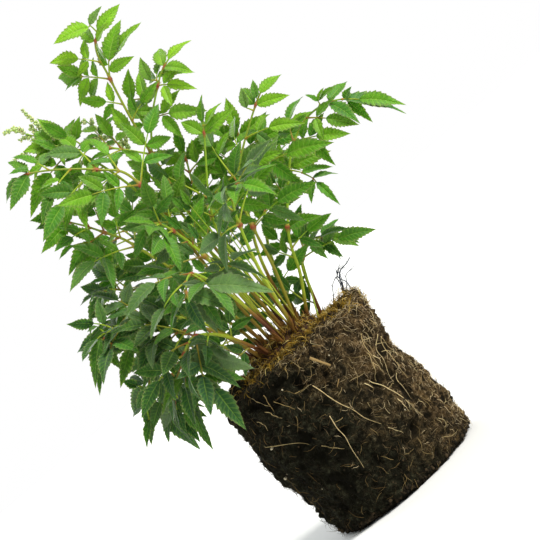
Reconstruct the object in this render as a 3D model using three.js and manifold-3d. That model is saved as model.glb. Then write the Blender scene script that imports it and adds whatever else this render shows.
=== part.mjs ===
// A young garden astilbe lifted out of its pot and stood on its root ball.
// Twenty-one divided leaves and two budding panicles stand in the woody crown on top of a round root ball.
// Millimetres, +Z up; the origin is the centre of the root ball's flat base.
import * as THREE from "three";
import Module from "manifold-3d";

const wasm = await Module();
wasm.setup();

// ---- driving dimensions ----
const gap = 0.35; // free space left round everything that stands in a hole
const ball = { baseRadius: 73, belly: 4, lean: 7, height: 152, chamfer: 4, sectors: 24 };
const crown = { x: -6, halfLength: 38, halfWidth: 33, bottom: 146, top: 169.5, sectors: 14 };
const stalk = { baseRadius: 2.1, tipRadius: 0.9, sheath: 0.9, knot: 0.45, nodeHalf: 1.3, sides: 4 };
const pinna = {
  baseRadius: 1,
  tipRadius: 0.75,
  nodeHalf: 1,
  share: [0.62, 0.5, 0.3], // of what is left of the leaf, at the first, second and third node
  least: 28,
  most: 50,
  angle: [56, 52, 56], // degrees off the main stalk
  lift: 0.1,
  droop: 0.22,
  pairs: { 3: [[0.7, 0.92]], 5: [[0.42, 0.76], [0.76, 0.94]] }, // place, share of a leaflet's full length
  endShare: 1.12,
  seat: { side: 1, end: 0.3 }, // how far off the side stalk's middle or end a leaflet starts
};
const leaflet = { length: 32, halfWidth: 0.215, fold: 0.28, curl: 0.16, sag: 0.12, spread: 57, stem: 0.22 };
const blade = { above: 0.4, below: 0.7, heart: 0.42 };
// Edge of a leaflet from base to tip: place along it, and share of its full half-width there.
const toothPlaces = [[0.2, 1], [0.27, 0.88], [0.48, 1], [0.55, 0.84], [0.76, 1]];

// Leaflets on each side stalk, at the first, second and third node of a leaf.
const leafKinds = {
  full: [5, 3, 1],
  lean: [3, 3, 1],
  small: [3, 1, 1],
  bareBelow: [1, 5, 1],
  forked: [0, 5, 1],
};

// The leaves. A route runs foot, bend, first, second and third node, tip; a limb starts at a node.
// A leaf's upper side looks along "face", as far as its stalk allows.
const front = [0, -0.75, 0.65];
const steep = [0, -0.9, 0.4];
const backward = [0, 0.5, 0.85];
const backLeft = [-0.3, 0.45, 0.85];
const backRight = [0.3, 0.4, 0.85];
const frontRight = [0.2, -0.7, 0.7];

function leaf(kind, face, ...route) {
  return { kind, face, route, size: 1, limbs: [] };
}

const leaves = [
  leaf("bareBelow", front, [21, 5, 155], [46, 0, 196],
    [65, -5, 235], [116, -15, 287], [161, -25, 293], [208, -30, 253]),
  {
    ...leaf("small", front, [33, 20, 142], [48, 25, 189],
      [57, 30, 206], [70, 32, 214], [84, 32, 209], [106, 32, 186]),
    size: 0.8,
  },
  leaf("full", front, [12, 2, 155], [32, -8, 214],
    [42, -15, 255], [57, -20, 293], [112, -18, 333], [149, -15, 348]),
  leaf("full", front, [12, -9, 155], [16, -14, 218],
    [15, -22, 265], [29, -28, 297], [62, -31, 342], [81, -28, 372]),
  leaf("full", steep, [-3, -12, 155], [-4, -18, 209],
    [-6, -30, 262], [-12, -42, 295], [-22, -50, 310], [-52, -56, 303]),
  {
    ...leaf("forked", front, [4, 10, 155], [5, 12, 270],
      [16, 2, 361], [31, -6, 433], [43, -8, 466], [82, -10, 481]),
    limbs: [
      { side: 1, route: [[16, 2, 361], [36, 0, 384], [59, -4, 402], [74, -6, 411], [110, -8, 421]] },
      { side: -1, route: [[16, 2, 361], [-9, 4, 390], [-34, 4, 409], [-46, 2, 424], [-69, 0, 438]] },
    ],
  },
  leaf("full", front, [-10, -5, 155], [-12, -10, 229],
    [-8, -25, 344], [-28, -30, 378], [-75, -34, 413], [-106, -32, 413]),
  leaf("full", front, [-15, 5, 155], [-25, 10, 228],
    [-47, 8, 309], [-60, 4, 336], [-78, 0, 363], [-105, -4, 386]),
  leaf("full", front, [-19, 15, 155], [-31, 20, 213],
    [-56, 30, 268], [-79, 35, 285], [-98, 38, 299], [-134, 40, 288]),
  leaf("full", front, [-23, -10, 155], [-46, -25, 223],
    [-78, -35, 253], [-98, -38, 262], [-115, -40, 264], [-142, -42, 246]),
  leaf("small", steep, [-22, -20, 155], [-42, -35, 210],
    [-59, -45, 223], [-70, -48, 232], [-82, -52, 236], [-112, -58, 222]),
  leaf("full", steep, [-15, -24, 155], [-36, -48, 199],
    [-54, -66, 215], [-70, -76, 210], [-82, -82, 195], [-100, -86, 162]),
  leaf("small", front, [-27, 0, 155], [-53, 10, 201],
    [-85, 18, 205], [-101, 22, 199], [-112, 22, 182], [-121, 20, 155]),
  leaf("full", front, [-29, 12, 155], [-60, 28, 212],
    [-92, 42, 222], [-118, 48, 212], [-132, 48, 200], [-152, 46, 180]),
  leaf("full", steep, [-2, -24, 155], [-8, -48, 212],
    [-14, -70, 240], [-22, -92, 256], [-34, -108, 246], [-44, -128, 214]),
  leaf("full", front, [13, 12, 155], [28, 20, 227],
    [52, 27, 277], [68, 30, 303], [85, 30, 325], [98, 28, 360]),
  leaf("lean", backward, [2, 24, 155], [5, 52, 225],
    [10, 85, 270], [12, 108, 296], [14, 130, 303], [16, 166, 290]),
  leaf("lean", backLeft, [-14, 22, 155], [-30, 47, 235],
    [-40, 72, 290], [-48, 90, 322], [-54, 107, 340], [-64, 136, 344]),
  leaf("lean", backRight, [16, 22, 155], [36, 44, 222],
    [60, 66, 262], [78, 82, 282], [96, 96, 288], [126, 116, 276]),
  leaf("lean", frontRight, [10, -22, 155], [22, -46, 222],
    [34, -72, 262], [44, -90, 282], [54, -106, 286], [72, -132, 266]),
  leaf("small", front, [5, 18, 155], [12, 28, 240],
    [20, 28, 290], [27, 27, 320], [36, 24, 340], [50, 20, 374]),
];

// Side stalks that grow unlike the rest: branch and side stalk, degrees off the main stalk, then the share
// of the usual length and of the usual leaflet.
const sideWays = [
  [1, 3, 52, 0.5, 0.9],
  [1, 4, 52, 0.4, 0.9],
  [3, 2, 56, 0.7, 1],
  [6, 4, 24, 0.5, 1.1],
  [6, 6, 44, 1, 0.8],
  [8, 3, 52, 0.4, 0.9],
  [10, 1, 56, 0.6, 1],
  [10, 4, 52, 0.4, 0.9],
  [12, 1, 56, 0.7, 0.9],
  [13, 1, 56, 0.6, 0.9],
  [14, 4, 52, 0.4, 0.9],
  [30, 1, 40, 0.5, 0.9],
  [30, 2, 60, 0.35, 0.85],
  [30, 3, 40, 0.4, 0.85],
  [30, 4, 70, 0.3, 0.75],
  [30, 6, 75, 1, 0.85],
  [31, 2, 56, 0.6, 0.9],
  [31, 4, 52, 0.6, 0.9],
];

// The two young panicles: foot, bends, start of the buds and tip; number and length of the bud sprigs.
const panicles = [
  {
    route: [[-4, 1, 155], [-6, 14, 250], [-16, 22, 350], [-36, 26, 415], [-66, 22, 462]],
    sprigs: 11,
    length: 22,
  },
  { route: [[-5, 12, 155], [-2, 26, 240], [2, 34, 320], [0, 36, 385], [-10, 32, 426]], sprigs: 8, length: 14 },
];
const sprig = { turn: 137.5, ahead: 0.75, out: 0.66, radii: [0.4, 1.6, 0.3] };

// Wiry old rootlets on the rim, sharing one foot, each given by its tip.
const rootletFoot = [64, 2, 146];
const rootletTips = [[70, -6, 176], [80, -2, 183], [87, 4, 172], [74, 8, 179]];

// The thickest roots that lie on the side of the ball: turn about the axis in degrees and height, end to end.
const surfaceRoots = [
  [[-96, 115], [-86, 80], [-78, 51], [-70, 33]],
  [[-102, 88], [-103, 65], [-106, 34]],
  [[-178, 103], [-150, 95], [-129, 80]],
  [[-139, 136], [-130, 118], [-119, 98]],
  [[-48, 122], [-53, 104], [-50, 88]],
  [[-35, 112], [-43, 90], [-50, 72]],
  [[-64, 88], [-56, 62], [-48, 34]],
  [[-22, 92], [-16, 74], [-8, 54]],
  [[88, 118], [74, 84], [70, 46]],
];
const surfaceRoot = { radius: 1.5, endRadius: 0.9, sunk: 0.2, steps: 3, sides: 3 };

const ownGap = 0.1; // between blades of one leaf
const clearFrom = 0.12; // share of a leaflet that may touch the stalk it sits on

// Ways of moving a side stalk or a leaflet aside when its first place is taken, in degrees.
const rollTrials = [0, 18, -18, 36, -36, 54];
const bladeTrials = [
  { yaw: 0, pitch: 0, scale: 1 },
  { yaw: 0, pitch: 16, scale: 1 },
  { yaw: 0, pitch: -16, scale: 1 },
  { yaw: 16, pitch: 0, scale: 1 },
  { yaw: -16, pitch: 0, scale: 1 },
  { yaw: 0, pitch: 26, scale: 0.85 },
  { yaw: 0, pitch: -26, scale: 0.85 },
  { yaw: 26, pitch: 0, scale: 0.8 },
  { yaw: -26, pitch: 0, scale: 0.8 },
];

const palette = {
  soil: { color: 0x3a2a20, roughness: 0.95 },
  root: { color: 0x2a2228, roughness: 0.85 },
  crown: { color: 0x6b4a2a, roughness: 0.9 },
  leaf: { color: 0x5f8a24, roughness: 0.55 },
  bud: { color: 0x9bb45c, roughness: 0.6 },
};

// ---- small tools ----
const degree = Math.PI / 180;
const vector = (p) => new THREE.Vector3(...p);
const mixed = (a, b, share) => a + (b - a) * share;

// A repeatable draw between -1 and 1 for a set of whole numbers.
function draw(...keys) {
  const weights = [12.9898, 78.233, 37.719, 93.989];
  const sum = keys.reduce((total, key, i) => total + key * weights[i], 0);
  const wave = Math.sin(sum) * 43758.5453;
  return 2 * (wave - Math.floor(wave)) - 1;
}

// a*x + b*y for two vectors.
function blend(x, a, y, b) {
  return x.clone().multiplyScalar(a).addScaledVector(y, b);
}

// The part of a vector square to a unit direction, made one long.
function squared(toward, direction) {
  return toward.clone().addScaledVector(direction, -toward.dot(direction)).normalize();
}

function solidFrom(points, faces) {
  const geometry = new THREE.BufferGeometry().setFromPoints(points);
  geometry.setIndex(faces.flat());
  return new wasm.Manifold(
    new wasm.Mesh({
      numProp: 3,
      vertProperties: geometry.getAttribute("position").array,
      triVerts: new Uint32Array(geometry.getIndex().array),
    }),
  );
}

function geometryOf(solid) {
  const { vertProperties, triVerts } = solid.getMesh();
  const geometry = new THREE.BufferGeometry();
  geometry.setAttribute("position", new THREE.BufferAttribute(vertProperties, 3));
  geometry.setIndex(new THREE.BufferAttribute(triVerts, 1));
  return geometry;
}

const fused = (solids) => wasm.Manifold.union(solids);

// Rings of equal count joined into a closed skin, with a middle point at each end.
function skin(rings, first, last) {
  const count = rings[0].length;
  const points = [...rings.flat(), first, last];
  const firstIndex = rings.length * count;
  const faces = [];
  for (let i = 0; i < count; i++) {
    const next = (i + 1) % count;
    for (let ring = 0; ring + 1 < rings.length; ring++) {
      const low = ring * count;
      const high = low + count;
      faces.push([low + i, low + next, high + next], [low + i, high + next, high + i]);
    }
    const top = (rings.length - 1) * count;
    faces.push([firstIndex, next, i], [firstIndex + 1, top + i, top + next]);
  }
  return solidFrom(points, faces);
}

// A tapering tube through a few points, its flat sides kept in line along it.
function tube(points, radii, sides) {
  let normal = null;
  const rings = points.map((point, i) => {
    const before = points[Math.max(i - 1, 0)];
    const after = points[Math.min(i + 1, points.length - 1)];
    const along = after.clone().sub(before).normalize();
    const guide = normal ?? (Math.abs(along.y) < 0.7 ? vector([0, 1, 0]) : vector([1, 0, 0]));
    normal = squared(guide, along);
    const across = new THREE.Vector3().crossVectors(along, normal);
    return Array.from({ length: sides }, (_, k) => {
      const turn = (2 * Math.PI * k) / sides;
      const spoke = blend(normal, Math.cos(turn), across, Math.sin(turn));
      return point.clone().addScaledVector(spoke, radii[i]);
    });
  });
  return skin(rings, points[0], points[points.length - 1]);
}

// ---- root ball and crown ----

// Distance of the ball's side from its axis: a slight belly, a lean to one side and uneven lumps.
function ballRadius(turn, z) {
  const belly = ball.belly * Math.sin((Math.PI * z) / 170);
  const lean = -ball.lean * Math.sin((Math.PI * z) / 175) ** 4 * Math.cos(turn);
  const lumps =
    1.2 * Math.sin(3 * turn + 1.1 + z / 40) +
    0.8 * Math.sin(7 * turn - z / 18) +
    0.5 * Math.sin(11 * turn + z / 9);
  return ball.baseRadius + belly + lean + lumps;
}

// Height of the ball's top: a low mound at the crown, a hump of moss to the left, a raised right rim.
function topHeight(x, y) {
  const mound = 7 * Math.exp(-((x - crown.x) ** 2 + y * y) / 38 ** 2);
  const hump = 10 * Math.exp(-((x + 58) ** 2 + (y + 6) ** 2) / 13 ** 2);
  const rim = 8 * Math.exp(-((x - 70) ** 2 + (y - 4) ** 2) / 15 ** 2);
  const waves = 1.3 * Math.sin(x / 9 + 1) * Math.cos(y / 8);
  return ball.height + mound + hump + rim + waves;
}

function sideRing(z, inset = 0) {
  return Array.from({ length: ball.sectors }, (_, i) => {
    const turn = (2 * Math.PI * i) / ball.sectors;
    const radius = ballRadius(turn, z) - inset;
    return vector([radius * Math.cos(turn), radius * Math.sin(turn), z]);
  });
}

function topRing(share, drop = 0) {
  return Array.from({ length: ball.sectors }, (_, i) => {
    const turn = (2 * Math.PI * i) / ball.sectors;
    const radius = ballRadius(turn, ball.height) * share;
    const x = radius * Math.cos(turn);
    const y = radius * Math.sin(turn);
    return vector([x, y, topHeight(x, y) - drop]);
  });
}

function rootBall() {
  const sides = [ball.chamfer, 26, 50, 74, 98, 122, 141].map((z) => sideRing(z));
  const tops = [topRing(0.965, 3), topRing(0.82), topRing(0.62), topRing(0.36)];
  const rings = [sideRing(0, ball.chamfer), ...sides, ...tops];
  return skin(rings, vector([0, 0, 0]), vector([0, 0, topHeight(0, 0)]));
}

// A root that lies on the side of the ball, half sunk in it.
function rootOnSide(ends) {
  const stops = ends.map(([turn, z]) => vector([turn * degree, z, 0]));
  const path = new THREE.CatmullRomCurve3(stops, false, "catmullrom", 0.5);
  const places = path.getPoints(surfaceRoot.steps).map((place) => {
    const radius = ballRadius(place.x, place.y) - surfaceRoot.sunk;
    return vector([radius * Math.cos(place.x), radius * Math.sin(place.x), place.y]);
  });
  const radii = places.map((_, i) => {
    return mixed(surfaceRoot.radius, surfaceRoot.endRadius, i / surfaceRoot.steps);
  });
  return tube(places, radii, surfaceRoot.sides);
}

// The woody crown: a low dome, flat underneath; "grow" makes the recess that holds it.
function crownSolid(grow = 0) {
  const height = crown.top - crown.bottom;
  const outline = [[0.72, 0], [0.95, 0.2], [1, 0.42], [0.94, 0.64], [0.74, 0.84], [0.4, 0.96]];
  const middle = (crown.top + crown.bottom) / 2;
  const level = (z) => z + Math.sign(z - middle) * grow;
  const rings = outline.map(([share, up]) =>
    Array.from({ length: crown.sectors }, (_, i) => {
      const turn = (2 * Math.PI * i) / crown.sectors;
      const lump = 1 + 0.05 * Math.sin(3 * turn + 4 * up) + 0.03 * Math.sin(5 * turn);
      return vector([
        crown.x + (crown.halfLength * share * lump + grow) * Math.cos(turn),
        (crown.halfWidth * share * lump + grow) * Math.sin(turn),
        level(crown.bottom + height * up),
      ]);
    }),
  );
  const bottom = vector([crown.x, 0, level(crown.bottom)]);
  return skin(rings, bottom, vector([crown.x, 0, level(crown.top)]));
}

// ---- leaves ----

// A route through hand-set points, whose last three inner points are the leaf's nodes.
class Route {
  constructor(points) {
    this.points = points.map(vector);
    this.curve = new THREE.CatmullRomCurve3(this.points, false, "catmullrom", 0.5);
    this.last = points.length - 1;
    this.nodes = [this.last - 3, this.last - 2, this.last - 1];
  }
  at(place) {
    return this.curve.getPoint(place / this.last);
  }
  along(index) {
    return this.points[index + 1].clone().sub(this.points[index - 1]).normalize();
  }
  // The leaf's frame at its nodes: at the third it turns its upper side to "face", and holds it from there.
  nodeFrames(face) {
    const frames = [];
    let normal = face;
    for (const node of [2, 1, 0]) {
      const along = this.along(this.nodes[node]);
      normal = squared(normal, along);
      frames[node] = { point: this.points[this.nodes[node]], along, normal };
    }
    return frames;
  }
}

// The skin of a leaf as it grows: rings of four corners, right top first and round through the right
// bottom, so that they run anticlockwise about the way of growth.
class Skin {
  points = [];
  faces = [];
  add(point) {
    return this.points.push(point) - 1;
  }
  ring({ point, along, normal, radius }) {
    const side = new THREE.Vector3().crossVectors(along, normal);
    const corners = [[1, 1], [-1, 1], [-1, -1], [1, -1]];
    const half = radius * Math.SQRT1_2;
    return corners.map(([up, out]) =>
      this.add(point.clone().addScaledVector(normal, up * half).addScaledVector(side, out * half)),
    );
  }
  quad(a, b, c, d) {
    this.faces.push([a, b, c], [a, c, d]);
  }
  cap(ring) {
    this.quad(...ring);
  }
  // The faces between two rings, without those on the sides that stay open for a child.
  join(from, to, open = []) {
    for (let i = 0; i < 4; i++) {
      const next = (i + 1) % 4;
      const isOpen = (i === 0 && open.includes(1)) || (i === 2 && open.includes(-1));
      if (!isOpen) this.quad(from[i], from[next], to[next], to[i]);
    }
  }
  // The ring that a child on one side starts from.
  sideRing(from, to, side) {
    return side > 0 ? [from[0], from[1], to[1], to[0]] : [to[3], to[2], from[2], from[3]];
  }
  // A toothed blade from a ring: fanned alike on both faces from a point on the midrib.
  blade(ring, place) {
    const edge = (sign) => toothPlaces.map(([u, share]) => this.add(bladePoint(place, u, sign * share)));
    const right = edge(1);
    const left = edge(-1).reverse();
    const heart = bladePoint(place, blade.heart, 0);
    const grow = place.grow ?? 0;
    const top = this.add(heart.clone().addScaledVector(place.normal, blade.above + grow));
    const bottom = this.add(heart.clone().addScaledVector(place.normal, -blade.below - grow));
    const rim = [...right, this.add(bladePoint(place, 1, 0)), ...left];
    const upper = [ring[0], ...rim, ring[3]];
    const lower = [ring[1], ...rim, ring[2]];
    upper.forEach((point, i) => {
      const next = (i + 1) % upper.length;
      this.faces.push([top, point, upper[next]], [bottom, lower[next], lower[i]]);
    });
    this.faces.push([ring[0], ring[1], rim[0]], [ring[2], ring[3], rim[rim.length - 1]]);
  }
  geometry() {
    const geometry = new THREE.BufferGeometry().setFromPoints(this.points);
    geometry.setIndex(this.faces.flat());
    return geometry;
  }
}

// Stations of a main stalk up to its third node: a pair of rings at each node, a sheath at the foot.
function stations(branch, grow = 0) {
  const { route, face, isLimb } = branch;
  const frames = route.nodeFrames(face);
  const end = route.last - 1 + leaflet.stem;
  const places = isLimb ? [0.3] : [0, 0.25, 0.5];
  for (let place = isLimb ? 1.5 : 1; place < end; place += 0.5) {
    if (!route.nodes.includes(place)) places.push(place);
  }
  places.push(end);
  const list = places.map((place) => ({ place, node: -1, point: route.at(place) }));
  route.nodes.forEach((index, node) => {
    const { point, along } = frames[node];
    for (const step of [-1, 1]) {
      const moved = point.clone().addScaledVector(along, step * stalk.nodeHalf);
      list.push({ place: index + step * 0.01, node, point: moved });
    }
  });
  list.sort((a, b) => a.place - b.place);
  const startRadius = isLimb ? 1.1 : stalk.baseRadius;
  let normal = face;
  for (let i = list.length - 1; i >= 0; i--) {
    const station = list[i];
    const frame = frames[station.node];
    const ahead = list[Math.min(i + 1, list.length - 1)].point;
    const behind = list[Math.max(i - 1, 0)].point;
    station.along = frame ? frame.along : ahead.clone().sub(behind).normalize();
    normal = frame ? frame.normal : squared(normal, station.along);
    station.normal = normal;
    const sheath = isLimb ? 0 : Math.max(0, 1 - station.place / 0.75) * stalk.sheath;
    const knot = frame ? stalk.knot : 0;
    station.radius = mixed(startRadius, stalk.tipRadius, station.place / end) + sheath + knot + grow;
  }
  return list;
}

const stemNumber = (node, side) => 2 * node + (side > 0 ? 2 : 1);

function sideWay(leaf, node, side) {
  const row = sideWays.find(([branch, stem]) => branch === leaf && stem === stemNumber(node, side));
  const [angle, reach, size] = row ? row.slice(2) : [pinna.angle[node], 1, 1];
  return { angle, reach, size };
}

// The side stalk at a node: it leaves at an angle, bends outward a little and droops.
function pinnaPath(branch, node, side, roll) {
  const { route, leaf } = branch;
  const way = sideWay(leaf, node, side);
  const { point: start, along, normal } = branch.frames[node];
  const across = new THREE.Vector3().crossVectors(along, normal).multiplyScalar(side);
  const turned = blend(across, Math.cos(roll * degree), normal, Math.sin(roll * degree));
  const up = squared(normal, turned);
  const angle = (way.angle + 6 * draw(leaf, node, side, 0)) * degree;
  const out = blend(along, Math.cos(angle), turned, Math.sin(angle));
  const rest = route.points[route.last].distanceTo(start);
  const wanted = rest * pinna.share[node] * (1 + 0.12 * draw(leaf, node, side, 1));
  const length = THREE.MathUtils.clamp(wanted, pinna.least, pinna.most) * way.reach;
  const bend = along.clone().multiplyScalar(pinna.lift * length);
  bend.z -= pinna.droop * length;
  const ahead = (u) => blend(out, length, bend, 2 * u).normalize();
  return {
    length,
    at: (u) => start.clone().addScaledVector(out, length * u).addScaledVector(bend, u * u),
    along: ahead,
    normal: (u) => squared(up, ahead(u)),
  };
}

// Leaflets of a side stalk: the end one, then the pairs, with where each starts and which way it goes.
function pinnaLeaflets(path, count, size) {
  const ends = [{ u: 1, side: 0, share: pinna.endShare }];
  for (const [u, share] of pinna.pairs[count]) {
    ends.push({ u, side: 1, share }, { u, side: -1, share });
  }
  return ends.map(({ u, side, share }, number) => {
    const ahead = path.along(u);
    const normal = path.normal(u);
    const across = new THREE.Vector3().crossVectors(ahead, normal).multiplyScalar(side);
    const angle = side ? leaflet.spread * degree : 0;
    const along = blend(ahead, Math.cos(angle), across, Math.sin(angle));
    const base = side
      ? path.at(u).addScaledVector(across, pinna.seat.side)
      : path.at(u).addScaledVector(ahead, pinna.seat.end);
    return { number, u, side, base, along, normal, length: size * share };
  });
}

// A leaflet's final place: small draws of its own, and one of the trials.
function settled(start, leaf, stem, trial) {
  const number = start.number;
  const yaw = trial.yaw * degree;
  const pitch = (12 * draw(leaf, stem, number, 3) + trial.pitch) * degree;
  const roll = 22 * draw(leaf, stem, number, 2) * degree;
  const side = new THREE.Vector3().crossVectors(start.along, start.normal);
  const swung = blend(start.along, Math.cos(yaw), side, Math.sin(yaw));
  const across = blend(side, Math.cos(yaw), start.along, -Math.sin(yaw));
  const along = blend(swung, Math.cos(pitch), start.normal, Math.sin(pitch));
  const raised = blend(start.normal, Math.cos(pitch), swung, -Math.sin(pitch));
  const normal = blend(raised, Math.cos(roll), across, Math.sin(roll));
  return {
    base: start.base,
    along,
    normal,
    side: new THREE.Vector3().crossVectors(along, normal),
    length: start.length * trial.scale * (1 + 0.14 * draw(leaf, stem, number, 1)),
    curl: leaflet.curl * (1 + 0.7 * draw(leaf, stem, number, 4)),
    sag: leaflet.sag * (1 + 0.8 * draw(leaf, stem, number, 5)),
  };
}

// A point of the leaflet: u runs from base to tip, v from one edge (-1) over the midrib to the other (1).
function bladePoint(place, u, v) {
  const grow = place.grow ?? 0;
  const outline = (u ** 0.75 * (1 - u) ** 1.25) / 0.2663;
  const half = place.length * leaflet.halfWidth * outline + grow;
  const point = place.base
    .clone()
    .addScaledVector(place.along, place.length * u)
    .addScaledVector(place.normal, -place.length * place.curl * u * u)
    .addScaledVector(place.side, half * v)
    .addScaledVector(place.normal, half * leaflet.fold * Math.abs(v));
  point.z -= place.length * place.sag * u * u;
  return point;
}

// ---- laying the leaves out so that none passes through another ----
const placed = []; // every solid so far, with its box and the piece of the plant that it belongs to

function put(owner, solid, kind) {
  placed.push({ owner, solid, kind, box: solid.boundingBox() });
}

function boxesMeet(a, b) {
  return [0, 1, 2].every((axis) => a.min[axis] < b.max[axis] && b.min[axis] < a.max[axis]);
}

function hits(solid, wanted) {
  const box = solid.boundingBox();
  return placed.some(
    (other) =>
      wanted(other) && boxesMeet(box, other.box) && !solid.intersect(other.solid).isEmpty(),
  );
}

// One leaflet by itself, as a solid: "grow" widens it all round and "from" leaves its base out.
function bladeSolid(place, grow = 0, from = 0) {
  const start = from ? bladePoint(place, from, 0) : place.base;
  const shell = new Skin();
  const radius = stalk.tipRadius + grow;
  const ring = shell.ring({ point: start, along: place.along, normal: place.normal, radius });
  const wide = { ...place, grow };
  shell.blade(ring, wide);
  shell.faces.push([ring[2], ring[1], ring[0]], [ring[3], ring[2], ring[0]]);
  return solidFrom(shell.points, shell.faces);
}

// The first trial of a leaflet that is clear of other pieces and of its own leaf.
function freePlace(owner, start, leaf, stem) {
  for (const trial of bladeTrials) {
    const place = settled(start, leaf, stem, trial);
    const isOwn = (other) => other.owner === owner;
    const isOwnBlade = (other) => isOwn(other) && other.kind === "blade";
    if (hits(bladeSolid(place, gap), (other) => !isOwn(other))) continue;
    if (hits(bladeSolid(place, ownGap), isOwnBlade)) continue;
    if (hits(bladeSolid(place, ownGap, clearFrom), isOwn)) continue;
    return place;
  }
  return null;
}

// Places leaflets one after the other; the solids stay in "placed" only if the caller keeps them.
function tryPlaces(owner, starts, leaf, stem) {
  const before = placed.length;
  const found = starts.map((start) => {
    const place = freePlace(owner, start, leaf, stem);
    if (place) put(owner, bladeSolid(place), "blade");
    return place;
  });
  const solids = placed.splice(before);
  return { places: found, solids, score: solids.length };
}

// One side stalk with its leaflets, rolled about the main stalk until most of it is free.
function growPinna(branch, node, side) {
  const count = leafKinds[branch.kind][node];
  if (!count) return;
  const { owner, leaf } = branch;
  const size = leaflet.length * branch.size * sideWay(leaf, node, side).size;
  const stem = stemNumber(node, side);
  let best = { score: 0 };
  for (const roll of rollTrials) {
    const path = pinnaPath(branch, node, side, roll);
    const single = count === 1;
    const starts = single
      ? [singleLeaflet(branch, path, node, side, size)]
      : pinnaLeaflets(path, count, size);
    const isBlocked = (other) => other.owner !== owner || other.kind === "blade";
    if (!single && hits(pinnaSolid(path, count, gap), isBlocked)) continue;
    if (!single) put(owner, pinnaSolid(path, count), "stalk");
    const result = tryPlaces(owner, starts, leaf, stem);
    const ownStalk = single ? [] : placed.splice(-1);
    if (result.score > best.score) {
      best = { ...result, solids: [...ownStalk, ...result.solids], path, starts, single };
    }
    if (best.score === count) break;
  }
  if (!best.score) return;
  placed.push(...best.solids);
  branch.pinnae.push({ node, side, ...best });
}

// A leaflet that sits on the main stalk itself.
function singleLeaflet(branch, path, node, side, size) {
  const { point, along, normal } = branch.frames[node];
  const across = new THREE.Vector3().crossVectors(along, normal);
  const base = point.clone().addScaledVector(across, side * stalk.nodeHalf);
  return { number: 0, base, along: path.along(0), normal: path.normal(0), length: size };
}

function pinnaRadius(u) {
  return mixed(pinna.baseRadius, pinna.tipRadius, u);
}

// The side stalk from a little way out of the main one, "grow" wider.
function pinnaSolid(path, count, grow = 0) {
  const places = [0.07, ...pinna.pairs[count].map(([u]) => u), 1];
  return tube(places.map(path.at), places.map((u) => pinnaRadius(u) + grow), 4);
}

function growTip(branch) {
  const { owner, route, leaf, frames } = branch;
  const base = route.at(route.last - 1 + leaflet.stem);
  const along = route.points[route.last].clone().sub(base);
  const length = along.length();
  along.normalize();
  const start = { number: 0, base, length, along, normal: squared(frames[2].normal, along) };
  const result = tryPlaces(owner, [start], leaf, 0);
  placed.push(...result.solids);
  branch.tip = result.places[0];
}

// ---- building each leaf's skin from what was placed ----

function skinPinna(shell, ring, { path, places, starts, single }) {
  if (single) {
    shell.blade(ring, places[0]);
    return;
  }
  const station = (u) => ({
    point: path.at(u),
    along: path.along(u),
    normal: path.normal(u),
    radius: pinnaRadius(u),
  });
  const half = pinna.nodeHalf / path.length;
  const pairs = [...new Set(starts.filter(({ side }) => side).map(({ u }) => u))].sort();
  let last = ring;
  for (const u of pairs) {
    const near = shell.ring(station(u - half));
    const far = shell.ring(station(u + half));
    shell.join(last, near);
    const children = starts.filter((start, i) => start.u === u && places[i]);
    shell.join(near, far, children.map(({ side }) => side));
    for (const child of children) {
      shell.blade(shell.sideRing(near, far, child.side), places[child.number]);
    }
    last = far;
  }
  const end = shell.ring(station(1));
  shell.join(last, end);
  if (places[0]) shell.blade(end, places[0]);
  else shell.cap(end);
}

function skinBranch(shell, branch, startRing = null) {
  const list = stations(branch);
  let last = startRing;
  list.forEach((station, i) => {
    const ring = shell.ring(station);
    const isFar = station.node >= 0 && list[i - 1]?.node === station.node;
    if (!last) {
      shell.cap([...ring].reverse());
    } else if (!isFar) {
      shell.join(last, ring);
    } else {
      const children = branch.pinnae.filter(({ node }) => node === station.node);
      const limbs = branch.limbs.filter(({ node }) => node === station.node);
      shell.join(last, ring, [...children, ...limbs].map(({ side }) => side));
      children.forEach((child) => skinPinna(shell, shell.sideRing(last, ring, child.side), child));
      limbs.forEach((limb) => skinBranch(shell, limb, shell.sideRing(last, ring, limb.side)));
    }
    last = ring;
  });
  if (branch.tip) shell.blade(last, branch.tip);
  else shell.cap(last);
}

// ---- panicles and rootlets ----

// A panicle's stalk; "grow" makes the hole for its foot.
function panicleStalk({ route }, grow = 0) {
  const path = new Route(route);
  const places = grow ? [0, 0.25] : [0, 0.25, 1, 1.5, 2, 2.5, 3, 3.5, 4];
  const radii = places.map((place) => mixed(2, 0.5, place / path.last) + grow);
  const points = places.map((place) => path.at(place));
  if (grow) points[0].z -= gap;
  return tube(points, radii, stalk.sides);
}

// A young panicle: a thin stalk whose upper part carries short bud sprigs all round.
function panicleSolids(spec) {
  const path = new Route(spec.route);
  const last = path.last;
  const ahead = path.at(last).sub(path.at(last - 1)).normalize();
  const normal = squared(vector([0, -1, 0]), ahead);
  const across = new THREE.Vector3().crossVectors(ahead, normal);
  const sprigs = Array.from({ length: spec.sprigs }, (_, i) => {
    const share = i / (spec.sprigs - 1);
    const start = path.at(mixed(last - 1.15, last - 0.05, share));
    const turn = i * sprig.turn * degree;
    const spoke = blend(normal, Math.cos(turn), across, Math.sin(turn));
    const out = blend(ahead, sprig.ahead, spoke, sprig.out);
    const reach = mixed(spec.length, spec.length * 0.35, share);
    const stops = [0, 0.55, 1].map((u) => start.clone().addScaledVector(out, reach * u));
    return tube(stops, sprig.radii, 3);
  });
  return [panicleStalk(spec), ...sprigs];
}

// The old rootlets: a short stump in the rim and a few bent wires.
function rootletStump(grow = 0) {
  const foot = vector(rootletFoot);
  const top = vector([foot.x + 1, foot.y, foot.z + 15]);
  if (grow) foot.z -= gap;
  return tube([foot, top], [1.6 + grow, 1.3 + grow], 4);
}

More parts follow.
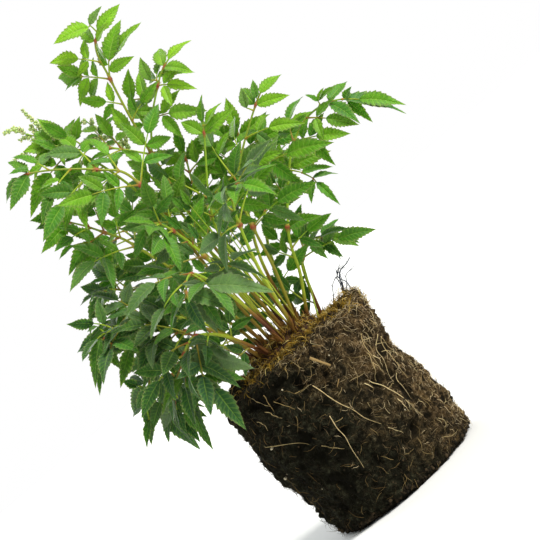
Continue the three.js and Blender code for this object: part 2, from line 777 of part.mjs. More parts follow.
function rootletSolids() {
  const start = vector([rootletFoot[0] + 0.8, rootletFoot[1], rootletFoot[2] + 12]);
  const wires = rootletTips.map(vector).map((tip, i) => {
    const middle = start.clone().lerp(tip, 0.5);
    middle.y += 3 * draw(i, 1);
    middle.z += 4;
    return tube([start, middle, tip], [0.7, 0.6, 0.4], 3);
  });
  return [rootletStump(), ...wires];
}

// ---- the plant ----
const firstLimb = 30; // number of the first limb in the draws, past the last leaf
const leafName = (index) => `frond_${String(index + 1).padStart(2, "0")}`;

function newBranch(owner, leaf, face, kind, route, extra = {}) {
  const path = new Route(route);
  const frames = path.nodeFrames(face);
  return { owner, leaf, face, kind, frames, route: path, size: 1, pinnae: [], limbs: [], ...extra };
}

const mains = leaves.map((spec, index) => {
  const face = vector(spec.face).normalize();
  const owner = leafName(index);
  const main = newBranch(owner, index + 1, face, spec.kind, spec.route, { size: spec.size });
  main.limbs = spec.limbs.map(({ side, route }, i) =>
    newBranch(owner, firstLimb + i, face, "lean", route, { isLimb: true, side, node: 0 }),
  );
  return main;
});
const branches = mains.flatMap((main) => [main, ...main.limbs]);

function stalkSolid(branch) {
  const shell = new Skin();
  const rings = stations(branch).map((station) => shell.ring(station));
  rings.slice(1).forEach((ring, i) => shell.join(rings[i], ring));
  shell.cap([...rings[0]].reverse());
  shell.cap(rings[rings.length - 1]);
  return solidFrom(shell.points, shell.faces);
}

// The hole for a leaf's foot: its own first stretch, wider by the gap and a little deeper.
const holeGrow = Math.SQRT2 * gap;

function leafHole(branch) {
  const shell = new Skin();
  const list = stations(branch, holeGrow).slice(0, 3);
  list[0].point = list[0].point.clone().addScaledVector(list[0].along, -gap);
  const rings = list.map((station) => shell.ring(station));
  rings.slice(1).forEach((ring, i) => shell.join(rings[i], ring));
  shell.cap([...rings[0]].reverse());
  shell.cap(rings[2]);
  return solidFrom(shell.points, shell.faces);
}

put("crown", crownSolid(), "crown");
put("root_ball", rootBall(), "soil");
branches.forEach((branch) => put(branch.owner, stalkSolid(branch), "stalk"));
panicles.forEach((spec, i) => put(`panicle_${i + 1}`, fused(panicleSolids(spec)), "panicle"));
branches.forEach(growTip);
for (const node of [2, 1, 0]) {
  for (const side of [1, -1]) {
    branches.forEach((branch) => growPinna(branch, node, side));
  }
}

const leafHoles = fused(mains.map(leafHole));
const panicleHoles = fused(panicles.map((spec) => panicleStalk(spec, holeGrow)));
const rootletHole = rootletStump(holeGrow);

const plant = new THREE.Group();
plant.name = "astilbe_plant";

function addPiece(name, geometry, look) {
  geometry.computeVertexNormals();
  const mesh = new THREE.Mesh(geometry, new THREE.MeshStandardMaterial({ metalness: 0, ...look }));
  mesh.name = name;
  plant.add(mesh);
}

const soil = fused([rootBall(), ...surfaceRoots.map(rootOnSide)]);
addPiece(
  "root_ball",
  geometryOf(soil.subtract(fused([crownSolid(gap), leafHoles, rootletHole]))),
  palette.soil,
);
addPiece("crown", geometryOf(crownSolid().subtract(fused([leafHoles, panicleHoles]))), palette.crown);
for (const main of mains) {
  const shell = new Skin();
  skinBranch(shell, main);
  addPiece(main.owner, shell.geometry(), palette.leaf);
}
panicles.forEach((spec, i) => {
  addPiece(`panicle_${i + 1}`, geometryOf(fused(panicleSolids(spec))), palette.bud);
});
addPiece("old_rootlets", geometryOf(fused(rootletSolids())), palette.root);

export default plant;
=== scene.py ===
# A young garden astilbe on its bare root ball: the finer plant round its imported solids.
import math

import bpy
import numpy as np
from mathutils import Matrix, Vector
from mathutils.bvhtree import BVHTree


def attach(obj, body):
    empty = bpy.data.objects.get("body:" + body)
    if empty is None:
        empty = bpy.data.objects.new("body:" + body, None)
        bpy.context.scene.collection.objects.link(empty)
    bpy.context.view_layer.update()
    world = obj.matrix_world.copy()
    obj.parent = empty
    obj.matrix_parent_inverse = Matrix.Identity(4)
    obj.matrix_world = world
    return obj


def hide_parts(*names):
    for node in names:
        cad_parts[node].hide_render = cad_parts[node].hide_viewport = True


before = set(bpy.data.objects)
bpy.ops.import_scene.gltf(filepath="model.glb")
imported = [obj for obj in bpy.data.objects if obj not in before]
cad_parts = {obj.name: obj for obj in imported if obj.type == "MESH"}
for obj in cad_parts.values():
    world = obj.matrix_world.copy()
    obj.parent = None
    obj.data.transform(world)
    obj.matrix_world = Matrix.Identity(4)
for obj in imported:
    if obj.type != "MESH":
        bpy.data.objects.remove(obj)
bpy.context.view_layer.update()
print("frame loaded:", len(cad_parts), "nodes")

mm = 0.001
rng = np.random.default_rng(11)

cameraView = {
    "right": (0.76, 0, -0.65),
    "up": (0.65, 0, 0.76),
    "lookAt": (28.8, 0, 216.9),
    "distance": 1310,
    "lens": 100.1,
}


# The camera stands back from the point it looks at; its right and up axes set the roll.
def placeCamera():
    right = np.array(cameraView["right"]) / np.linalg.norm(cameraView["right"])
    up = np.array(cameraView["up"]) / np.linalg.norm(cameraView["up"])
    back = np.cross(right, up)
    spot = (np.array(cameraView["lookAt"]) + back * cameraView["distance"]) * mm
    data = bpy.data.cameras.new("camera")
    data.sensor_width = 36
    data.lens = cameraView["lens"]
    data.clip_start = 0.05
    data.clip_end = 50
    camera = bpy.data.objects.new("camera", data)
    bpy.context.scene.collection.objects.link(camera)
    turn = np.eye(4)
    turn[:3, 0], turn[:3, 1], turn[:3, 2], turn[:3, 3] = right, up, back, spot
    camera.matrix_world = Matrix(turn.tolist())
    bpy.context.scene.camera = camera


lightPlan = {
    "key": {"from": (0.85, -0.5, 0.8), "strength": 4.0, "angle": 20, "color": (1, 0.98, 0.92)},
    "back": {"from": (-0.4, 0.95, 0.7), "strength": 1.6, "angle": 40, "color": (0.98, 0.99, 1)},
}


def placeLights():
    for name, plan in lightPlan.items():
        data = bpy.data.lights.new(name, "SUN")
        data.energy = plan["strength"]
        data.angle = math.radians(plan["angle"])
        data.color = plan["color"]
        sun = bpy.data.objects.new(name, data)
        bpy.context.scene.collection.objects.link(sun)
        sun.rotation_euler = Vector(plan["from"]).to_track_quat("Z", "Y").to_euler()


# White where the camera looks past the floor, a soft grey light on everything else.
def makeWorld(seen=(1, 1, 1), light=(0.46, 0.48, 0.47)):
    world = bpy.data.worlds.new("studio")
    world.use_nodes = True
    tree = world.node_tree
    background = tree.nodes["Background"]
    rays = tree.nodes.new("ShaderNodeLightPath")
    choice = tree.nodes.new("ShaderNodeMix")
    choice.data_type = "RGBA"
    choice.inputs[6].default_value = (*light, 1)
    choice.inputs[7].default_value = (*seen, 1)
    tree.links.new(rays.outputs["Is Camera Ray"], choice.inputs[0])
    tree.links.new(choice.outputs[2], background.inputs["Color"])
    bpy.context.scene.world = world


placeCamera()
placeLights()
makeWorld()
bpy.context.scene.view_settings.view_transform = "Standard"
print("camera, lights and world placed")


# A new material; "plain" sets sockets of its shader.
def startFinish(name, plain):
    finish = bpy.data.materials.new(name)
    finish.use_nodes = True
    tree = finish.node_tree
    shader = tree.nodes["Principled BSDF"]
    for socket, value in plain.items():
        shader.inputs[socket].default_value = value
    return finish, tree, shader


# Adds a node; a value that is a socket is linked, any other is set.
def addNode(tree, kind, sockets=None, **settings):
    node = tree.nodes.new(kind)
    for key, value in settings.items():
        setattr(node, key, value)
    for key, value in (sockets or {}).items():
        if isinstance(value, bpy.types.NodeSocket):
            tree.links.new(value, node.inputs[key])
        else:
            node.inputs[key].default_value = value
    return node


def mathNode(tree, operation, *values):
    sockets = dict(enumerate(values))
    return addNode(tree, "ShaderNodeMath", sockets, operation=operation).outputs[0]


# From "toLow" below "low" to "toHigh" above "high", smooth between.
def stepNode(tree, value, low, high, toLow=0.0, toHigh=1.0):
    sockets = {"Value": value, "From Min": low, "From Max": high, "To Min": toLow, "To Max": toHigh}
    node = addNode(tree, "ShaderNodeMapRange", sockets, interpolation_type="SMOOTHSTEP")
    return node.outputs["Result"]


def mixNode(tree, share, first, second, blendType="MIX"):
    node = addNode(tree, "ShaderNodeMix", {0: share}, data_type="RGBA", blend_type=blendType)
    for index, value in ((6, first), (7, second)):
        if isinstance(value, bpy.types.NodeSocket):
            tree.links.new(value, node.inputs[index])
        else:
            node.inputs[index].default_value = (*value, 1)
    return node.outputs[2]


def rampNode(tree, value, stops):
    node = addNode(tree, "ShaderNodeValToRGB", {"Fac": value})
    ramp = node.color_ramp
    while len(ramp.elements) < len(stops):
        ramp.elements.new(0.5)
    for element, (place, color) in zip(ramp.elements, stops):
        element.position = place
        element.color = (*color, 1)
    return node.outputs["Color"]


def noiseNode(tree, vector, scale, detail=3.0, rough=0.55):
    sockets = {"Vector": vector, "Scale": scale, "Detail": detail, "Roughness": rough}
    return addNode(tree, "ShaderNodeTexNoise", sockets).outputs["Fac"]


def objectPlace(tree):
    return addNode(tree, "ShaderNodeTexCoord").outputs["Object"]


# The three numbers of a point attribute.
def readLook(tree, name):
    vector = addNode(tree, "ShaderNodeAttribute", attribute_name=name).outputs["Vector"]
    parts = addNode(tree, "ShaderNodeSeparateXYZ", {0: vector})
    return parts.outputs["X"], parts.outputs["Y"], parts.outputs["Z"]


# From "low" to "high" by a noise, over the middle part of its range.
def mottle(tree, noise, low, high):
    return stepNode(tree, noise, 0.3, 0.7, low, high)


# Links colour, roughness and bump to the shader.
def dress(tree, shader, color, rough, height, strength, distance):
    sockets = {"Height": height, "Strength": strength, "Distance": distance}
    bump = addNode(tree, "ShaderNodeBump", sockets).outputs["Normal"]
    for socket, value in (("Base Color", color), ("Roughness", rough), ("Normal", bump)):
        tree.links.new(value, shader.inputs[socket])


leafColors = {
    # deep to young: from low leaflets in painted shade to high ones in painted light, as well as by age
    "deep": (0.016, 0.062, 0.009),
    "middle": (0.062, 0.212, 0.002),
    "young": (0.235, 0.475, 0.012),
    "vein": (0.27, 0.46, 0.05),
    "edge": (0.19, 0.13, 0.02),
    "under": (0.058, 0.125, 0.034),
    "underVein": (0.17, 0.24, 0.08),
    # the grey of a painted sheen
    "greySheen": (0.13, 0.195, 0.08),
}
leafGloss = {
    "Subsurface Weight": 0.22,
    "Subsurface Radius": (0.6, 1.0, 0.2),
    "Subsurface Scale": 0.0012,
    "Specular IOR Level": 0.2,
    "Sheen Weight": 0.16,
    "Sheen Roughness": 0.45,
}
leafCast = [  # by chance: a bluish, a plain and an olive green
    (0.0, (0.80, 0.97, 1.6)),
    (0.28, (1, 1, 1)),
    (0.52, (1, 1, 1)),
    (0.68, (1.5, 1.08, 0.9)),
    (0.84, (1, 1, 1)),
]


# Leaflet: green by age and by painted light and shade, with a cast of its own, paler midrib, veins and fine
# net, a rusty edge, a paler and duller underside, and a painted grey sheen over some leaflets.
def leafFinish():
    finish, tree, shader = startFinish("leaf_finish", leafGloss)
    phase, across, _ = readLook(tree, "leafPlace")
    tone, chance, under = readLook(tree, "leafLook")
    spot = objectPlace(tree)
    blotch = noiseNode(tree, spot, 90, 4)
    grain = noiseNode(tree, spot, 900, 2)
    # Tone: age, with painted light high up and painted shade low down, plus blotches at random.
    agedAndLit = mathNode(tree, "ADD", tone, mathNode(tree, "MULTIPLY_ADD", blotch, 0.5, -0.25))
    colors = [(0.0, leafColors["deep"]), (0.5, leafColors["middle"]), (1.0, leafColors["young"])]
    green = rampNode(tree, agedAndLit, colors)
    off = mathNode(tree, "ABSOLUTE", across)
    midrib = stepNode(tree, off, 0.03, 0.11, 1, 0)
    apart = mathNode(tree, "PINGPONG", mathNode(tree, "ADD", phase, 0.1), 0.5)
    lateral = stepNode(tree, apart, 0.03, 0.14, 1, 0)
    inner = stepNode(tree, off, 0.75, 1.0, 1, 0)
    lateral = mathNode(tree, "MULTIPLY", lateral, inner)
    run, reach = mathNode(tree, "MULTIPLY", phase, 1.6), mathNode(tree, "MULTIPLY", across, 4.0)
    netPlace = addNode(tree, "ShaderNodeCombineXYZ", {0: run, 1: reach, 2: chance}).outputs[0]
    sockets = {"Vector": netPlace, "Scale": 2.2}
    cells = addNode(tree, "ShaderNodeTexVoronoi", sockets, feature="DISTANCE_TO_EDGE").outputs["Distance"]
    net = stepNode(tree, cells, 0.0, 0.09, 1, 0)
    veins = mathNode(tree, "MAXIMUM", midrib, mathNode(tree, "MULTIPLY", lateral, 0.4))
    veins = mathNode(tree, "MAXIMUM", veins, mathNode(tree, "MULTIPLY", net, 0.10))
    paler = mathNode(tree, "MULTIPLY", veins, stepNode(tree, tone, 0.1, 0.8, 0.34, 0.7))
    castShare = stepNode(tree, tone, 0.4, 0.8, 1.0, 0.15)
    green = mixNode(tree, castShare, green, rampNode(tree, chance, leafCast), "MULTIPLY")
    upper = mixNode(tree, paler, green, leafColors["vein"])
    upper = mixNode(tree, stepNode(tree, off, 0.86, 1.0, 0, 0.5), upper, leafColors["edge"])
    lowerVeins = mathNode(tree, "MULTIPLY", veins, 0.6)
    lower = mixNode(tree, lowerVeins, leafColors["under"], leafColors["underVein"])
    shade = mottle(tree, grain, 0.86, 1.1)
    # Painted grey sheen on some leaflets by chance, and more on the leaflets of the leaves set for it.
    greySheen = stepNode(tree, chance, 0.84, 0.92, 0, 0.34)
    greySheen = mathNode(tree, "ADD", greySheen, stepNode(tree, chance, 0.98, 0.99, 0, 0.24))
    both = mixNode(tree, greySheen, mixNode(tree, under, upper, lower), leafColors["greySheen"])
    color = addNode(tree, "ShaderNodeVectorMath", {0: both, "Scale": shade}, operation="SCALE").outputs[0]
    gloss = mottle(tree, blotch, 0.40, 0.56)
    rough = mathNode(tree, "MULTIPLY_ADD", under, 0.22, gloss)
    height = mathNode(tree, "MULTIPLY_ADD", veins, -0.8, mathNode(tree, "MULTIPLY", grain, 0.4))
    dress(tree, shader, color, rough, height, 0.55, 0.0005)
    return finish


stalkColors = {
    "along": [
        (0.0, (0.05, 0.015, 0.006)),
        (0.05, (0.13, 0.042, 0.010)),
        (0.10, (0.22, 0.125, 0.015)),
        (0.16, (0.31, 0.370, 0.022)),
        (0.5, (0.33, 0.500, 0.030)),
        (1.0, (0.17, 0.320, 0.022)),
    ],
    "reddish": (0.19, 0.072, 0.014),
    "joint": (0.33, 0.062, 0.036),
    "streak": (0.15, 0.07, 0.015),
}


# Stalk: dark brown at the foot, then yellow-green, some of them reddish, with red joints and fine streaks.
def stalkFinish():
    plain = {"Subsurface Weight": 0.1, "Subsurface Scale": 0.001, "Specular IOR Level": 0.22}
    finish, tree, shader = startFinish("stalk_finish", plain)
    along, knot, chance = readLook(tree, "stalkLook")
    spot = objectPlace(tree)
    stretch = addNode(tree, "ShaderNodeMapping", {"Vector": spot, "Scale": (1, 1, 0.12)}).outputs[0]
    streak = noiseNode(tree, stretch, 700, 4)
    patch = noiseNode(tree, spot, 45, 3)
    moved = mathNode(tree, "ADD", along, mathNode(tree, "MULTIPLY_ADD", chance, 0.16, -0.08))
    moved = mathNode(tree, "ADD", moved, mathNode(tree, "MULTIPLY_ADD", patch, 0.2, -0.1))
    base = rampNode(tree, moved, stalkColors["along"])
    reddish = stepNode(tree, chance, 0.6, 0.85, 0, 0.7)
    reddish = mathNode(tree, "MULTIPLY", reddish, mottle(tree, along, 1, 0.4))
    base = mixNode(tree, reddish, base, stalkColors["reddish"])
    red = mathNode(tree, "MULTIPLY", knot, stepNode(tree, patch, 0.3, 0.6, 0.7, 1.0))
    base = mixNode(tree, red, base, stalkColors["joint"])
    base = mixNode(tree, stepNode(tree, streak, 0.52, 0.7, 0, 0.4), base, stalkColors["streak"])
    dress(tree, shader, base, mottle(tree, streak, 0.42, 0.62), streak, 0.35, 0.0003)
    return finish


budColors = {
    "body": [(0.1, (0.26, 0.40, 0.09)), (0.5, (0.50, 0.62, 0.22)), (0.9, (0.74, 0.78, 0.45))],
    "foot": (0.16, 0.30, 0.05),
}


# Young bud: pale green, creamier by chance, green at its foot.
def budFinish():
    plain = {"Subsurface Weight": 0.2, "Subsurface Scale": 0.001}
    finish, tree, shader = startFinish("bud_finish", plain)
    tone, along, _ = readLook(tree, "budLook")
    grain = noiseNode(tree, objectPlace(tree), 1400, 3)
    mixed = mathNode(tree, "MULTIPLY_ADD", grain, 0.4, mathNode(tree, "MULTIPLY", tone, 0.6))
    base = rampNode(tree, mixed, budColors["body"])
    base = mixNode(tree, stepNode(tree, along, 0.0, 0.5, 0.5, 0), base, budColors["foot"])
    dress(tree, shader, base, mottle(tree, grain, 0.45, 0.65), grain, 0.4, 0.0002)
    return finish


# Fine root lines over a surface: where a curled noise crosses its middle, broken up by a second noise.
def fibreNode(tree, spot, scale, width):
    sockets = {"Vector": spot, "Scale": scale, "Detail": 2.0, "Roughness": 0.6, "Distortion": 1.1}
    curled = addNode(tree, "ShaderNodeTexNoise", sockets).outputs["Fac"]
    off = mathNode(tree, "ABSOLUTE", mathNode(tree, "SUBTRACT", curled, 0.5))
    line = stepNode(tree, off, 0.0, width, 1, 0)
    unbroken = stepNode(tree, noiseNode(tree, spot, scale * 0.45, 2), 0.42, 0.56)
    return mathNode(tree, "MULTIPLY", line, unbroken)


soilColors = {
    # dark and brown: the compost in painted shade and in painted light
    "dark": [(0.42, (0.004, 0.004, 0.002)), (0.52, (0.018, 0.018, 0.010)), (0.64, (0.088, 0.088, 0.052))],
    "brown": [(0.42, (0.006, 0.004, 0.0018)), (0.52, (0.036, 0.024, 0.011)), (0.64, (0.43, 0.305, 0.165))],
    # hollow: near black, painted shade in the hollows and along the bottom edge, and dark patches
    "hollow": (0.0045, 0.004, 0.002),
    # the root lines in painted shade and in painted light
    "shadedFibre": (0.034, 0.029, 0.015),
    "litFibre": (0.30, 0.190, 0.080),
    "lean": (8.4, 3.2),  # what each metre of x and z adds to the light share
}


# Compost: brown on the crumbs, with dark patches, matted with fine root lines; painted shade makes it near
# black in the hollows, along the bottom edge and to the lower left, and painted light makes it browner to
# the upper right.
def soilFinish():
    finish, tree, shader = startFinish("soil_finish", {"Specular IOR Level": 0.06})
    deep, _, _ = readLook(tree, "soilLook")
    spot = objectPlace(tree)
    broad = noiseNode(tree, spot, 28, 4)
    crumb = noiseNode(tree, spot, 300, 6, 0.7)
    speck = noiseNode(tree, spot, 1100, 3, 0.7)
    parts = addNode(tree, "ShaderNodeSeparateXYZ", {0: spot}).outputs
    # Painted light: a share rising to the upper right picks the lit brown copy, to the lower left the shaded
    # dark one.
    leanX, leanZ = soilColors["lean"]
    lean = mathNode(tree, "MULTIPLY_ADD", parts["Z"], leanZ, mathNode(tree, "MULTIPLY", parts["X"], leanX))
    lit = stepNode(tree, mathNode(tree, "ADD", lean, broad), 0.62, 1.3)
    mixed = mathNode(tree, "MULTIPLY_ADD", crumb, 0.62, mathNode(tree, "MULTIPLY", speck, 0.38))
    dark, brown = rampNode(tree, mixed, soilColors["dark"]), rampNode(tree, mixed, soilColors["brown"])
    base = mixNode(tree, lit, dark, brown)
    # Near black: dark patches at random, and painted shade in the hollows and along the bottom edge.
    patch = stepNode(tree, noiseNode(tree, spot, 110, 3, 0.6), 0.38, 0.60, 0.8, 0.0)
    hollow = mathNode(tree, "MAXIMUM", patch, deep)
    hollow = mathNode(tree, "MAXIMUM", hollow, stepNode(tree, parts["Z"], 0.001, 0.008, 0.9, 0))
    base = mixNode(tree, hollow, base, soilColors["hollow"])
    fibres = mathNode(tree, "MAXIMUM", fibreNode(tree, spot, 240, 0.045), fibreNode(tree, spot, 380, 0.06))
    fine = mathNode(tree, "MULTIPLY", fibreNode(tree, spot, 640, 0.08), 0.6)
    matted = mathNode(tree, "MAXIMUM", fibres, fine)
    # root lines in painted shade to the lower left and in painted light to the upper right
    strand = mixNode(tree, lit, soilColors["shadedFibre"], soilColors["litFibre"])
    shown = mathNode(tree, "MULTIPLY", matted, stepNode(tree, hollow, 0.0, 0.8, 0.5, 0.08))
    base = mixNode(tree, shown, base, strand)
    height = mathNode(tree, "MULTIPLY_ADD", matted, 0.35, mixed)
    dress(tree, shader, base, mottle(tree, crumb, 0.98, 0.8), height, 0.95, 0.0016)
    return finish


# Strands coloured by their own tone, from the first stop to the last, darker at the far end.
def strandFinish(name, stops, roughness=(0.6, 0.85)):
    finish, tree, shader = startFinish(name, {"Specular IOR Level": 0.12})
    tone, along, _ = readLook(tree, "strandLook")
    grain = noiseNode(tree, objectPlace(tree), 700, 3)
    mixed = mathNode(tree, "MULTIPLY_ADD", grain, 0.36, mathNode(tree, "MULTIPLY_ADD", tone, 1.0, -0.18))
    base = rampNode(tree, mixed, stops)
    base = mixNode(tree, stepNode(tree, along, 0.75, 1.0, 0, 0.35), base, stops[0][1])
    dress(tree, shader, base, mottle(tree, grain, *roughness), grain, 0.5, 0.0003)
    return finish


barkStops = [(0.25, (0.11, 0.050, 0.018)), (0.5, (0.050, 0.024, 0.011)), (0.75, (0.014, 0.008, 0.005))]
perliteStops = [(0.3, (0.34, 0.27, 0.15)), (0.6, (0.62, 0.55, 0.38))]
floorStops = [(0.3, (0.90, 0.90, 0.90)), (0.7, (0.93, 0.93, 0.93))]


# Woody crown: brown bark in rough flakes.
def crownFinish():
    finish, tree, shader = startFinish("crown_finish", {"Specular IOR Level": 0.15})
    spot = objectPlace(tree)
    sockets = {"Vector": spot, "Scale": 190}
    flake = addNode(tree, "ShaderNodeTexVoronoi", sockets, feature="F1").outputs["Distance"]
    grain = noiseNode(tree, spot, 420, 5)
    mixed = mathNode(tree, "MULTIPLY_ADD", flake, 0.6, mathNode(tree, "MULTIPLY", grain, 0.5))
    base = rampNode(tree, mixed, barkStops)
    dress(tree, shader, base, mottle(tree, grain, 0.75, 0.92), mixed, 0.8, 0.001)
    return finish


# Pale grain: off-white perlite, mottled and slightly pitted.
def perliteFinish():
    finish, tree, shader = startFinish("perlite_finish", {})
    grain = noiseNode(tree, objectPlace(tree), 1100, 4)
    base = rampNode(tree, grain, perliteStops)
    dress(tree, shader, base, mottle(tree, grain, 0.9, 0.7), grain, 0.7, 0.0006)
    return finish


def floorFinish():
    finish, tree, shader = startFinish("floor_finish", {"Roughness": 0.9})
    soft = noiseNode(tree, objectPlace(tree), 3, 2)
    tree.links.new(rampNode(tree, soft, floorStops), shader.inputs["Base Color"])
    return finish


def unit(vectors):
    return vectors / np.linalg.norm(vectors, axis=-1, keepdims=True)


# That many angles, evenly round a circle.
def circle(count):
    return np.arange(count) * 2 * np.pi / count


# The part of a vector square to a unit direction, made one long.
def squared(toward, direction):
    return unit(toward - (toward * direction).sum(-1, keepdims=True) * direction)


# Collects closed skins for one piece. Each skin is a stack of rings round a path, closed at both ends
# on one point; the rings run anticlockwise about the way of growth.
class Skins:
    def __init__(self):
        self.points, self.quads, self.triangles, self.looks = [], [], [], {}
        self.count = 0

    # rings [skins, rings, sides, 3], first and last [skins, 3]; a look is three values that fit the first
    # three of those sizes
    def add(self, rings, first, last, **looks):
        skins, depth, sides = rings.shape[:3]
        ring = np.arange(sides)
        following = (ring + 1) % sides
        low = np.arange(depth - 1)[:, None] * sides
        walls = np.stack([low + ring, low + following, low + sides + following, low + sides + ring], -1)
        foot = depth * sides
        top = foot - sides
        ends = np.concatenate([
            np.stack([np.full(sides, foot), following, ring], -1),
            np.stack([np.full(sides, foot + 1), top + ring, top + following], -1),
        ])
        shift = self.count + np.arange(skins)[:, None, None] * (foot + 2)
        self.quads.append((walls.reshape(1, -1, 4) + shift).reshape(-1, 4))
        self.triangles.append((ends[None] + shift).reshape(-1, 3))
        flat = rings.reshape(skins, -1, 3)
        self.points.append(np.concatenate([flat, first[:, None], last[:, None]], 1).reshape(-1, 3))
        for name, values in looks.items():
            look = np.stack([np.broadcast_to(value, rings.shape[:3]) for value in values], -1)
            caps = [look[:, :1].mean(2), look[:, -1:].mean(2)]
            whole = np.concatenate([look.reshape(skins, -1, 3), *caps], 1)
            self.looks.setdefault(name, []).append((self.count, whole.reshape(-1, 3)))
        self.count += skins * (foot + 2)


# Turns collected skins into a finished piece that rides on the root body.
def makePiece(name, skins, finishes, nodes=(), sharp=None, marks=None):
    mesh = bpy.data.meshes.new(name)
    points = np.concatenate(skins.points) * mm
    quads = np.concatenate(skins.quads)
    triangles = np.concatenate(skins.triangles)
    corners = np.concatenate([quads.ravel(), triangles.ravel()]).astype(np.int32)
    starts = np.concatenate([
        np.arange(len(quads)) * 4,
        len(quads) * 4 + np.arange(len(triangles)) * 3,
    ]).astype(np.int32)
    mesh.vertices.add(len(points))
    mesh.vertices.foreach_set("co", points.astype(np.float32).ravel())
    mesh.loops.add(len(corners))
    mesh.loops.foreach_set("vertex_index", corners)
    mesh.polygons.add(len(starts))
    mesh.polygons.foreach_set("loop_start", starts)
    mesh.update(calc_edges=True)
    for look, parts in skins.looks.items():
        values = np.zeros((len(points), 3), np.float32)
        for start, part in parts:
            values[start:start + len(part)] = part
        mesh.attributes.new(look, "FLOAT_VECTOR", "POINT").data.foreach_set("vector", values.ravel())
    mesh.polygons.foreach_set("use_smooth", np.ones(len(starts), bool))
    if sharp:
        mesh.set_sharp_from_angle(angle=math.radians(sharp))
    for finish in finishes:
        mesh.materials.append(finish)
    if marks is not None:
        split = [(quads >= marks).all(1), (triangles >= marks).all(1)]
        mesh.polygons.foreach_set("material_index", np.concatenate(split).astype(np.int32))
    piece = bpy.data.objects.new(name, mesh)
    bpy.context.scene.collection.objects.link(piece)
    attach(piece, "root")
    if nodes:
        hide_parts(*nodes)
    print(f"{name}: {2 * len(quads) + len(triangles)} triangles")


# Round skins along paths: each ring is a circle of that radius square to the path at its point.
# paths [skins, rings, 3], radii [skins, rings], guide [skins, 3] is a side that no path runs along.
def tubeRings(paths, radii, guide, sides):
    along = unit(np.gradient(paths, axis=1))
    across = unit(np.cross(along, guide[:, None]))
    normal = np.cross(across, along)
    turn = circle(sides)
    spokes = normal[:, :, None] * np.cos(turn)[:, None] + across[:, :, None] * np.sin(turn)[:, None]
    return paths[:, :, None] + spokes * radii[:, :, None, None]


leafBuild = {
    "pinnaShare": (0.62, 0.5, 0.3),
    "pinnaLeast": 28,
    "pinnaMost": 50,
    "pinnaAngle": (56, 52, 56),
    "lift": 0.1,
    "droop": 0.22,
    "pairs": {3: ((0.7, 0.92),), 5: ((0.42, 0.76), (0.76, 0.94))},
    "endShare": 1.12,
    "seatSide": 1.0,
    "seatEnd": 0.3,
    "nodeHalf": 1.3,
    "length": 32,
    "halfWidth": 0.215,
    "fold": 0.28,
    "curl": 0.16,
    "sag": 0.12,
    "spread": 57,
    "stem": 0.22,
}
leafKinds = {
    "full": (5, 3, 1),
    "lean": (3, 3, 1),
    "small": (3, 1, 1),
    "bareBelow": (1, 5, 1),
    "forked": (0, 5, 1),
}
# largest part of each loose measure: degrees, or shares of the usual one
leafLoose = {
    "pinnaAngle": 6,
    "pinnaLength": 0.12,
    "pitch": 12,
    "roll": 22,
    "length": 0.14,
    "curl": 0.7,
    "sag": 0.8,
    "ownCurl": 0.5,
    "ownSag": 0.5,
    "ownFace": 0.35,
}
rollTrials = (0, 18, -18, 36, -36, 54)
bladeTrials = (  # yaw, pitch, scale
    (0, 0, 1),
    (0, 16, 1),
    (0, -16, 1),
    (16, 0, 1),
    (-16, 0, 1),
    (0, 26, 0.85),
    (0, -26, 0.85),
    (26, 0, 0.8),
    (-26, 0, 0.8),
)
faces = {
    "front": (0, -0.75, 0.65),
    "steep": (0, -0.9, 0.4),
    "backward": (0, 0.5, 0.85),
    "backLeft": (-0.3, 0.45, 0.85),
    "backRight": (0.3, 0.4, 0.85),
    "frontRight": (0.2, -0.7, 0.7),
}
